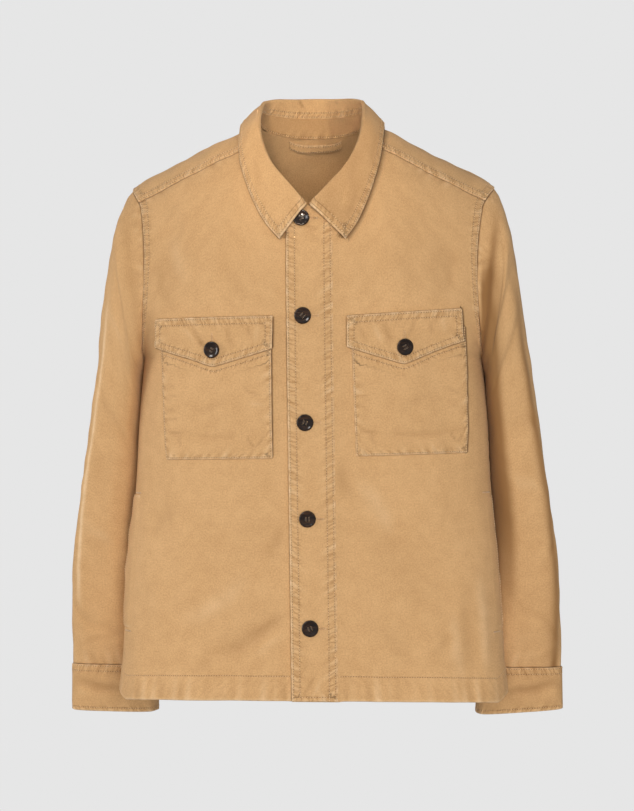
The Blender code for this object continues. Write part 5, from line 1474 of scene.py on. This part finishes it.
def makePocket(word, hand):
    look, side = pocketLook, pocketLook[hand]
    high = spacing(0.156, look["step"], True, False)[:, None]
    across = spacing(0.134, look["step"])[None, :]
    x = hand * mix(mix(*side["bottomX"], across), mix(*side["topX"], across), high)
    z = mix(mix(*side["bottomZ"], across), look["top"], high)
    points, normals = lay(x, z, front, pocketLift(across, high, hand))
    panel = newPanel("pocket" + word.title(), points, normals, cloth["strip"])
    seed = look["seed"][hand]
    edge = {"rows": [0.0018], "roll": 0.001, "pucker": 0.00055, "reach": 0.01, "wearAndPaintedShading": 0.65, "drop": 0.0005,
            "ropePitch": 0.011, "ropeReach": 0.0055}
    looks = [
        ("firstColumn", {**edge, "seed": seed, "trim": (0.0018, 0.0)}),
        ("lastColumn", {**edge, "seed": seed + 1, "trim": (0.0018, 0.0)}),
        ("firstRow", {**edge, "seed": seed + 2, "trim": (0.0018, 0.0018)}),
    ]
    creasePanel(panel, pocketCreases[hand])
    dressAndSew(panel, looks, "pockets")

    # a row sewn through the pocket, under the flap's lower edge
    share = np.linspace(0.03, 0.97, 60)
    rowX, _, rowZ = flapLines(share, hand)
    rowZ = rowZ - look["flapRow"]
    order = np.argsort(rowX)
    below = z - np.interp(x, rowX[order], rowZ[order])
    weight = 1 - softStep((np.abs(below) - 0.003) / 0.014)
    strength = 1 - softStep((np.abs(below) - 0.002) / 0.0025)
    markSeam(panel, np.abs(x), look["rowInset"] + below, weight, {
        "rows": [look["rowInset"]], "seed": seed + 3, "ropeReach": 0.004, "strength": strength})
    lift = pocketLift(share, (rowZ - side["bottomZ"][0]) / (look["top"] - side["bottomZ"][0]), hand)
    stitchLines["pockets"].append(lay(rowX, rowZ, front, lift + edgeLook["threadLift"])[0])
    return panel


def makeFlap(word, hand):
    look = flapLook
    across = spacing(0.1385, look["step"])[None, :]
    down = spacing(0.05, look["step"])[:, None]
    x, top, low = flapLines(across, hand)
    z = mix(top, low, down)
    away = 1 - across if hand > 0 else across
    curl = look["curl"] * down ** 4 * np.abs(2 * across - 1) ** 2
    curl = curl + look["endLift"] * bell(away, 0.0, look["endReach"]) * down
    points, normals = lay(x, z, front, look["lift"] + curl)
    panel = newPanel("flap" + word.title(), points, normals, cloth["single"])
    seed = look["seed"][hand]
    edge = {"rows": [0.002, 0.0085], "roll": 0.0011, "pucker": 0.0005, "reach": 0.012, "wearAndPaintedShading": 0.75,
            "raise": 0.0004, "width": 0.0092}
    looks = [
        ("lastRow", {**edge, "seed": seed, "trim": (0.002, 0.002)}),
        ("firstColumn", {**edge, "seed": seed + 1, "trim": (0.001, 0.002)}),
        ("lastColumn", {**edge, "seed": seed + 2, "trim": (0.001, 0.002)}),
        ("firstRow", {**edge, "seed": seed + 3, "drop": 0.0012, "trim": (0.0015, 0.0015)}),
    ]
    creasePanel(panel, flapCreases[hand])
    return dressAndSew(panel, looks, "pockets")


# side pocket lips, along the side seams
weltLook = {
    "top": -0.449, "bottom": -0.612, "angle": 20, "lip": {1: 0.0008, -1: 0.0035}, "wearAndPaintedShading": {1: 0.1, -1: 0.7},
    "sink": {1: 0.0013, -1: 0.0}, "seed": {1: 280, -1: 290},
}


def makeWelt(word, hand):
    look = weltLook
    along = spacing(0.163, 0.003)[:, None]
    z = mix(look["bottom"], look["top"], along)
    across = spacing(0.025, 0.0022)[None, :]
    angle = np.radians(90 - look["angle"] * (1 - across))
    x = edgeWidth(z) * np.sin(angle) ** (2 / form["planPower"])
    lip = look["lip"][hand] * np.sin(math.pi * along) * across ** 2 * (1 + 0.25 * np.sin(21 * along + hand))
    points, normals = lay(hand * x, z, front, cloth["layGap"] + cloth["strip"] + lip - look["sink"][hand])
    panel = newPanel("welt" + word.title(), points, normals, cloth["strip"])
    seed = look["seed"][hand]
    looks = [
        ("lastColumn", {"rows": [0.002, 0.0085], "roll": 0.001, "pucker": 0.0004, "seed": seed,
                        "wearAndPaintedShading": look["wearAndPaintedShading"][hand]}),
        ("firstColumn", {"drop": 0.0016, "dropReach": 0.01, "seed": seed + 1, "wearAndPaintedShading": 0.0}),
        ("firstRow", {"drop": 0.0006, "seed": seed + 2, "wearAndPaintedShading": 0.4}),
        ("lastRow", {"drop": 0.0006, "seed": seed + 3, "wearAndPaintedShading": 0.4}),
    ]
    return dressAndSew(panel, looks, "body")


pockets = {hand: makePocket(word, hand) for word, hand in bothSides}
flaps = {hand: makeFlap(word, hand) for word, hand in bothSides}
welts = {hand: makeWelt(word, hand) for word, hand in bothSides}

# shade beside the edges that stand away: width and strength by the side of the picture they face
shadeLook = {
    "pocketLeft": (0.001, 0.22), "pocketBottom": (0.0014, 0.45), "pocketRight": (0.003, 0.8),
    "flapLeft": (0.0012, 0.25), "flapLow": (0.002, 0.6), "flapRight": (0.0034, 0.85), "flapTop": (0.001, 0.25),
    "collarRight": (0.0075, 0.62), "collarLeft": (0.0022, 0.42), "collarLead": (0.003, 0.55),
    "bandLeft": (0.0014, 0.55),
}


def flatLine(points):
    return np.asarray(points)[..., (0, 2)]


# outline of a pocket or flap as it hangs: down its left, along its foot, up its right, back along its top
def shadeUnder(panel, over, names):
    grid = flatLine(over["points"])
    if grid[0, 0, 0] > grid[0, -1, 0]:
        grid = grid[:, ::-1]
    if grid[0, 0, 1] < grid[-1, 0, 1]:
        grid = grid[::-1]
    sides = [grid[:, 0], grid[-1], grid[::-1, -1], grid[0, ::-1]]
    line, looks = [sides[0][0]], []
    for side, name in zip(sides, names):
        kept = side[1:-1:3].tolist() + [side[-1]]
        line += kept
        looks += [shadeLook[name]] * len(kept)
    shadeBeside(panel, line, *zip(*looks))


def shadeUnderCollar(panel):
    edge = collarLeaf["points"][:, -1]
    inFront = edge[:, 1] < 0.02
    half = len(edge) // 2
    shadeBeside(panel, flatLine(edge[:half][inFront[:half]]), *shadeLook["collarRight"])
    shadeBeside(panel, flatLine(edge[half:][inFront[half:]]), *shadeLook["collarLeft"])
    overRoll = 4 * collarLook["sectionSteps"]
    shadeBeside(panel, flatLine(collarLeaf["points"][0, overRoll:-3]), *shadeLook["collarLeft"])
    shadeBeside(panel, flatLine(collarLeaf["points"][-1, overRoll:-3][::-1]), *shadeLook["collarLead"])


for hand, panel in ((1, frontLeft), (-1, frontRight)):
    shadeUnder(panel, pockets[hand], ("pocketLeft", "pocketBottom", "pocketRight"))
    for under in (panel, pockets[hand]):
        shadeUnder(under, flaps[hand], ("flapLeft", "flapLow", "flapRight", "flapTop"))
for panel in (frontLeft, frontRight, yokePanel, buttonBand):
    shadeUnderCollar(panel)
shadeBeside(frontRight, flatLine(buttonBand["points"][::-1, 0]), *shadeLook["bandLeft"])

makeShell(yokePanel, "yoke")
makeShell(frontLeft, "front_left")
makeShell(frontRight, "front_right")
makeShell(buttonBand, "placket")
for word, hand in bothSides:
    under, pocket = ["front" + word.title()], ["pocket" + word.title()]
    makeShell(pockets[hand], "pocket_" + word)
    makeShell(flaps[hand], "flap_" + word)
    makeShell(welts[hand], "welt_" + word)
print("band, pockets and flaps made")

# buttons: lathe with a raised rim, four holes and thread through them
buttonLook = {
    "radius": 0.0102, "thickness": 0.0034, "rim": 0.0022, "dish": 0.001, "sides": 48, "holeRadius": 0.00105,
    "holeSpread": 0.0019, "heights": [-0.113, -0.23, -0.358, -0.4735, -0.605], "cuffAngle": 318,
    "threadRadius": 0.00042, "barSpread": 0.25, "barSink": 0.0008, "barRise": 0.0022, "sharp": 40,
    "bar": [(-1.0, 0.0), (-1.0, 0.5), (-0.5, 0.62), (0.5, 0.62), (1.0, 0.5), (1.0, 0.0)],
    "seatOnBand": 0.0007, "seatOnFlap": 0.0006, "seatOnCuff": 0.0005, "drillSides": 16, "drillEnds": (-0.002, 0.006),
}


def holedButton():
    look = buttonLook
    r, t = look["radius"], look["thickness"]
    inner, dish = r - look["rim"], look["dish"]
    profile = [(0.0, 0.0), (r - 0.0012, 0.0), (r - 0.0003, 0.0006), (r, 0.0014), (r - 0.0002, 0.0024),
               (r - 0.0008, t - 0.0002), (r - 0.0014, t), (inner, t - 0.0002), (inner - 0.001, t - dish * 0.8),
               (inner - 0.0026, t - dish * 1.15), (0.0, t - dish * 1.2)]
    sides, rings, faces = look["sides"], len(profile) - 2, []
    vertices = [(radius * math.cos(turn), radius * math.sin(turn), height) for radius, height in profile[1:-1]
                for turn in np.arange(sides) * 2 * math.pi / sides]
    vertices = [(0.0, 0.0, 0.0)] + vertices + [(0.0, 0.0, profile[-1][1])]
    last = len(vertices) - 1
    for step in range(sides):
        after = (step + 1) % sides
        faces.append((0, 1 + after, 1 + step))
        for ring in range(rings - 1):
            low, high = 1 + ring * sides, 1 + (ring + 1) * sides
            faces.append((low + step, low + after, high + after, high + step))
        top = 1 + (rings - 1) * sides
        faces.append((top + step, top + after, last))
    mesh = bpy.data.meshes.new("buttonBlank")
    mesh.from_pydata(vertices, [], faces)
    blank = addObject("buttonBlank", mesh)
    drills = []
    for sideX, sideY in ((1, 1), (1, -1), (-1, 1), (-1, -1)):
        drill = bpy.data.meshes.new("drill")
        count = look["drillSides"]
        ring = [(look["holeRadius"] * math.cos(a) + sideX * look["holeSpread"],
                 look["holeRadius"] * math.sin(a) + sideY * look["holeSpread"])
                for a in np.arange(count) * 2 * math.pi / count]
        drill.from_pydata([(x, y, z) for z in look["drillEnds"] for x, y in ring], [],
                          [tuple(range(count - 1, -1, -1)), tuple(range(count, 2 * count))]
                          + [(k, (k + 1) % count, count + (k + 1) % count, count + k) for k in range(count)])
        drills.append(addObject("drill", drill))
        cut = blank.modifiers.new("hole", "BOOLEAN")
        cut.operation, cut.object, cut.solver = "DIFFERENCE", drills[-1], "EXACT"
    depsgraph = bpy.context.evaluated_depsgraph_get()
    holed = bpy.data.meshes.new_from_object(blank.evaluated_get(depsgraph))
    for helper in drills + [blank]:
        bpy.data.objects.remove(helper, do_unlink=True)
    return holed


buttonMesh = holedButton()
buttonPieces, buttonThreads = [], []


def addButton(name, node, place, normal, spin):
    look = buttonLook
    normal = normal / norm(normal)
    side = np.cross(normal, (0.0, 0.0, 1.0))
    side = side / norm(side)
    up = np.cross(normal, side)
    if up[2] < 0:
        side, up = -side, -up
    turned = side * math.cos(spin) + up * math.sin(spin)
    axes = np.stack((turned, np.cross(normal, turned), normal), axis=1)
    mesh = buttonMesh.copy()
    mesh.name = name
    own = np.array([vertex.co for vertex in mesh.vertices])
    mesh.vertices.foreach_set("co", (own @ axes.T + place).ravel())
    mesh.shade_smooth()
    mesh.set_sharp_from_angle(angle=math.radians(look["sharp"]))
    mesh.materials.clear()
    mesh.materials.append(hornMaterial)
    buttonPieces.append(addPiece(name, mesh, node))
    spread = look["holeSpread"]
    seat = look["thickness"] - look["dish"] * 1.2 - look["barSink"]
    for sideY in (-1, 1):
        for offset in (-look["barSpread"], look["barSpread"]):
            line = [(x * spread, (sideY + offset) * spread, seat + rise * look["barRise"]) for x, rise in look["bar"]]
            buttonThreads.append(np.array(line) @ axes.T + place)


def buttonX(z):
    share = (z - form["neckFront"]) / (form["hem"] - form["neckFront"])
    return bandEdge(z) + mix(form["buttonInsetTop"], form["buttonInsetHem"], share)


for number, z in enumerate(buttonLook["heights"], start=1):
    place, normal = lay(buttonX(z), z, front, bandLook["lift"] + buttonLook["seatOnBand"])
    addButton("buttonFront" + str(number), "button_front_" + str(number), place, normal, 0.4 * number)
for word, hand in bothSides:
    place, normal = lay(*flapButtonPlace(hand), front, flapLook["lift"] + buttonLook["seatOnFlap"])
    addButton("buttonFlap" + word.title(), "button_flap_" + word, place, normal, 0.5 * hand)
    cuffPanel = sleeves[word][1]
    middle = len(cuffPanel["points"]) // 2
    angle = np.array([float(buttonLook["cuffAngle"])])
    place = onRing(cuffPanel["points"][middle:middle + 1], angle)[0, 0]
    normal = onRing(cuffPanel["normals"][middle:middle + 1], angle)[0, 0]
    place = place + normal * buttonLook["seatOnCuff"]
    addButton("buttonCuff" + word.title(), "button_cuff_" + word, place, normal, 0.3)
print("buttons made")

holeLook = {
    "length": 0.023, "bandLift": bandLook["lift"] + 0.0003, "flapLift": flapLook["lift"] + 0.0003, "pitch": 0.00055,
    "half": 0.0014, "slit": 0.00025, "endHalf": 0.0012, "endGap": -0.0004, "start": 0.004, "thread": 0.00026,
    "tackHalf": 0.0016, "flapTacks": (0.022, 0.978), "flapTackLift": flapLook["lift"] - 0.0002,
    "flapTackEnds": (0.009, 0.001), "weltTack": 0.009, "weltTackLift": 0.0004, "weltTackOff": 0.004,
}


# close zigzags for buttonholes and bar tacks, laid on the body
def zigzag(startX, startZ, endX, endZ, half, lift, gap=0.0):
    length = math.hypot(endX - startX, endZ - startZ)
    count = int(length / holeLook["pitch"])
    share = np.linspace(0.0, 1.0, 2 * count + 1)
    across = np.where(np.arange(2 * count + 1) % 2 == 0, gap, half)
    asideX, asideZ = -(endZ - startZ) / length, (endX - startX) / length
    x = mix(startX, endX, share) + asideX * across
    z = mix(startZ, endZ, share) + asideZ * across
    threadLines.append(lay(x, z, front, lift)[0])


def buttonhole(startX, startZ, endX, endZ, lift):
    half, slit, end = holeLook["half"], holeLook["slit"], holeLook["endHalf"]
    zigzag(startX, startZ, endX, endZ, half, lift, slit)
    zigzag(startX, startZ, endX, endZ, -half, lift, -slit)
    zigzag(endX, endZ - end, endX, endZ + end, end, lift, holeLook["endGap"])


for z in buttonLook["heights"]:
    start = buttonX(z) - holeLook["start"]
    buttonhole(start, z, start + holeLook["length"], z, holeLook["bandLift"])
for hand in (1, -1):
    x, z = flapButtonPlace(hand)
    z = z - holeLook["start"]
    buttonhole(x, z, x, z + holeLook["length"], holeLook["flapLift"])
    for share in holeLook["flapTacks"]:
        x, top, _ = flapLines(np.array(share), hand)
        low, high = [top - off for off in holeLook["flapTackEnds"]]
        zigzag(float(x), low, float(x), high, holeLook["tackHalf"], holeLook["flapTackLift"], holeLook["endGap"])
    for z in (weltLook["top"] + holeLook["weltTackOff"], weltLook["bottom"] - holeLook["weltTackOff"]):
        inner = math.sin(math.radians(90 - weltLook["angle"])) ** (2 / form["planPower"])
        inner = float(edgeWidth(np.array(z))) * inner
        zigzag(hand * inner, z, hand * (inner + holeLook["weltTack"]), z, holeLook["tackHalf"],
               holeLook["weltTackLift"])


# Geometry Nodes: running stitches along paths, and thread drawn along paths
def newTree(name, inputs):
    tree = bpy.data.node_groups.new(name, "GeometryNodeTree")
    tree.interface.new_socket("Geometry", in_out="INPUT", socket_type="NodeSocketGeometry")
    for label, kind in inputs:
        tree.interface.new_socket(label, in_out="INPUT", socket_type=kind)
    tree.interface.new_socket("Geometry", in_out="OUTPUT", socket_type="NodeSocketGeometry")
    return tree, tree.nodes.new("NodeGroupInput"), tree.nodes.new("NodeGroupOutput")


def linkAll(tree, rows):
    for source, output, target, socket in rows:
        tree.links.new(source.outputs[output], target.inputs[socket])


# the end of both trees: real mesh, smooth, with its material
def endTree(tree, given, made, grown, output):
    real = addNode(tree, "GeometryNodeRealizeInstances")
    smooth = addNode(tree, "GeometryNodeSetShadeSmooth")
    colour = addNode(tree, "GeometryNodeSetMaterial")
    linkAll(tree, (
        (grown, output, real, "Geometry"), (real, "Geometry", smooth, "Geometry"),
        (smooth, "Geometry", colour, "Geometry"), (given, "Thread", colour, "Material"),
        (colour, "Geometry", made, "Geometry")))
    return tree


def stitchTree():
    tree, given, made = newTree("runningStitch", [
        ("Pitch", "NodeSocketFloat"), ("Stitch Length", "NodeSocketFloat"), ("Thread Radius", "NodeSocketFloat"),
        ("Seed", "NodeSocketInt"), ("Thread", "NodeSocketMaterial")])
    path = addNode(tree, "GeometryNodeMeshToCurve")
    even = addNode(tree, "GeometryNodeResampleCurve", mode="LENGTH")
    stitch = addNode(tree, "GeometryNodeMeshUVSphere", {"Segments": 6, "Rings": 4, "Radius": 1.0})
    tangent = addNode(tree, "GeometryNodeInputTangent")
    turn = addNode(tree, "FunctionNodeAlignRotationToVector", axis="X")
    vary = addNode(tree, "FunctionNodeRandomValue", data_type="FLOAT")
    half = addNode(tree, "ShaderNodeMath", operation="MULTIPLY")
    size = addNode(tree, "ShaderNodeCombineXYZ")
    place = addNode(tree, "GeometryNodeInstanceOnPoints")
    vary.inputs[2].default_value, vary.inputs[3].default_value = threadSize["halfShares"]
    linkAll(tree, (
        (given, "Seed", vary, "Seed"), (given, "Geometry", path, "Mesh"), (path, "Curve", even, "Curve"),
        (given, "Pitch", even, "Length"), (tangent, "Tangent", turn, "Vector"), (given, "Stitch Length", half, 0),
        (vary, 1, half, 1), (half, 0, size, "X"), (given, "Thread Radius", size, "Y"),
        (given, "Thread Radius", size, "Z"), (even, "Curve", place, "Points"), (stitch, "Mesh", place, "Instance"),
        (turn, "Rotation", place, "Rotation"), (size, "Vector", place, "Scale")))
    return endTree(tree, given, made, place, "Instances")


def drawnThreadTree():
    tree, given, made = newTree("drawnThread", [
        ("Thread Radius", "NodeSocketFloat"), ("Thread", "NodeSocketMaterial")])
    path = addNode(tree, "GeometryNodeMeshToCurve")
    ring = addNode(tree, "GeometryNodeCurvePrimitiveCircle", {"Resolution": 5})
    tube = addNode(tree, "GeometryNodeCurveToMesh", {"Fill Caps": True})
    linkAll(tree, (
        (given, "Geometry", path, "Mesh"), (path, "Curve", tube, "Curve"),
        (given, "Thread Radius", ring, "Radius"), (ring, "Curve", tube, "Profile Curve")))
    return endTree(tree, given, made, tube, "Mesh")


def growFromPaths(name, lines, tree, values, material):
    vertices, edges = [], []
    for line in lines:
        first = len(vertices)
        vertices += [tuple(point) for point in line]
        edges += [(first + step, first + step + 1) for step in range(len(line) - 1)]
    paths = bpy.data.meshes.new(name + "Paths")
    paths.from_pydata(vertices, edges, [])
    maker = addObject(name + "Paths", paths)
    modifier = maker.modifiers.new("grow", "NODES")
    modifier.node_group = tree
    for socket in tree.interface.items_tree:
        if socket.in_out == "INPUT" and socket.name in values:
            modifier[socket.identifier] = values[socket.name]
        if socket.in_out == "INPUT" and socket.name == "Thread":
            modifier[socket.identifier] = material
    depsgraph = bpy.context.evaluated_depsgraph_get()
    mesh = bpy.data.meshes.new_from_object(maker.evaluated_get(depsgraph))
    maker.modifiers.remove(modifier)
    bpy.data.objects.remove(maker, do_unlink=True)
    mesh.name = name
    addPiece(name, mesh)
    print("thread", name, "lines", len(lines), "faces", len(mesh.polygons))


running, drawn = stitchTree(), drawnThreadTree()
stitchValues = {"Pitch": threadSize["pitch"], "Stitch Length": threadSize["length"],
                "Thread Radius": threadSize["radius"], "Seed": 7}
for group, lines in stitchLines.items():
    growFromPaths(group + "Stitches", lines, running, stitchValues, threadMaterial)
growFromPaths("buttonholeThread", threadLines, drawn, {"Thread Radius": holeLook["thread"]}, threadMaterial)
growFromPaths("buttonThread", buttonThreads, drawn, {"Thread Radius": buttonLook["threadRadius"]},
              buttonThreadMaterial)
print("sewing done")

# stage, light and camera
stageLook = {
    "grey": (0.791, 0.791, 0.791, 1), "floorHeight": -1.05, "floorRadius": 4.0, "wallRadius": 6.0, "wallTop": 7.0,
    "sides": 64,
}


def makeStage():
    look = stageLook
    bend = look["wallRadius"] - look["floorRadius"]
    profile = [(0.02, look["floorHeight"]), (look["floorRadius"], look["floorHeight"])]
    for turn in np.radians(np.arange(10, 91, 10)):
        profile.append((look["floorRadius"] + bend * math.sin(turn), look["floorHeight"] + bend * (1 - math.cos(turn))))
    profile.append((look["wallRadius"], look["wallTop"]))
    sides = look["sides"]
    vertices = [(r * math.cos(a), r * math.sin(a), z) for r, z in profile
                for a in np.arange(sides) * 2 * math.pi / sides]
    faces = [(ring + k, ring + (k + 1) % sides, ring + sides + (k + 1) % sides, ring + sides + k)
             for ring in range(0, (len(profile) - 1) * sides, sides) for k in range(sides)]
    faces.append(tuple(range(sides)))
    mesh = bpy.data.meshes.new("paleFloor")
    mesh.from_pydata(vertices, [], faces)
    mesh.shade_smooth()
    material, tree, shader = newMaterial("paleBackdrop")
    setInputs(shader, {"Base Color": (0, 0, 0, 1), "Specular IOR Level": 0.0, "Emission Color": look["grey"],
                       "Emission Strength": 1.0})
    mesh.materials.append(material)
    floor = addObject("paleFloor", mesh)
    for ray in ("diffuse", "glossy", "transmission", "shadow"):
        setattr(floor, "visible_" + ray, False)


makeStage()
lightLook = {
    "world": 0.3, "worldTilt": (-0.06, 0.0, 0.15), "neckColour": (1.0, 0.86, 0.68),
    "frontLight": {"place": (0.6, -3.2, -0.6), "aim": (0.0, 0.0, -0.42), "size": 2.2, "power": 86.0},
    "sideLight": {"place": (-3.0, -0.2, -0.1), "aim": (0.0, 0.0, -0.35), "size": 1.8, "power": 38.0},
    "neckLight": {"place": (-0.3, -2.1, 1.0), "aim": (0.0, 0.07, -0.05), "size": 0.25, "power": 0.075, "spread": 8.0},
    "glint": {"place": (-1.6, -1.9, 1.1), "aim": (0.0, -0.1, -0.35), "size": 0.9, "power": 16.0},
}


def addLight(name, place, aim, size, power, spread=180.0):
    lamp = bpy.data.lights.new(name, "AREA")
    lamp.shape, lamp.size, lamp.energy, lamp.spread = "SQUARE", size, power, math.radians(spread)
    light = addObject(name, lamp)
    light.location = place
    direction = np.array(aim) - np.array(place)
    light.rotation_euler = (math.acos(-direction[2] / norm(direction)), 0.0,
                            math.atan2(direction[1], direction[0]) - math.pi / 2)
    return light


world = bpy.data.worlds.new("studio")
world.use_nodes = True
sky = world.node_tree
outward, glow = addNode(sky, "ShaderNodeTexCoord"), sky.nodes["Background"]
aimed = addNode(sky, "ShaderNodeVectorMath", {1: lightLook["worldTilt"]}, operation="DOT_PRODUCT")
level = addNode(sky, "ShaderNodeMath", {1: lightLook["world"]}, operation="ADD")
setInputs(glow, {"Color": (1.0, 1.0, 1.0, 1)})
linkAll(sky, ((outward, "Generated", aimed, 0), (aimed, "Value", level, 0), (level, 0, glow, "Strength")))
scene.world = world
lights = {name: addLight(name, **lightLook[name]) for name in ("frontLight", "sideLight", "neckLight", "glint")}
lights["frontLight"].visible_glossy = False
lights["neckLight"].data.color = lightLook["neckColour"]
# the glint reaches only the buttons
glint = lights["glint"]
glint.data.shape = "DISK"
glint.visible_diffuse = False
glint.light_linking.receiver_collection = bpy.data.collections.new("glintOn")
for piece in buttonPieces:
    glint.light_linking.receiver_collection.objects.link(piece)

photo = {
    "yaw": 3.5, "distance": 2.7, "aim": (0.0, 0.0, -0.3375), "metresPerPixel": 0.00125, "pixelsHigh": 811,
    "pixelsAside": 4.0, "sensor": 24.0,
}
yaw = math.radians(photo["yaw"])
lens = bpy.data.cameras.new("photoCamera")
lens.sensor_fit = "VERTICAL"
lens.sensor_height = photo["sensor"]
lens.lens = photo["sensor"] * photo["distance"] / (photo["pixelsHigh"] * photo["metresPerPixel"])
lens.shift_x = photo["pixelsAside"] / photo["pixelsHigh"]
camera = addObject("photoCamera", lens)
camera.location = (photo["aim"][0] + math.sin(yaw) * photo["distance"],
                   photo["aim"][1] - math.cos(yaw) * photo["distance"], photo["aim"][2])
camera.rotation_euler = (math.pi / 2, 0.0, yaw)
scene.camera = camera
scene.view_settings.view_transform = "Standard"
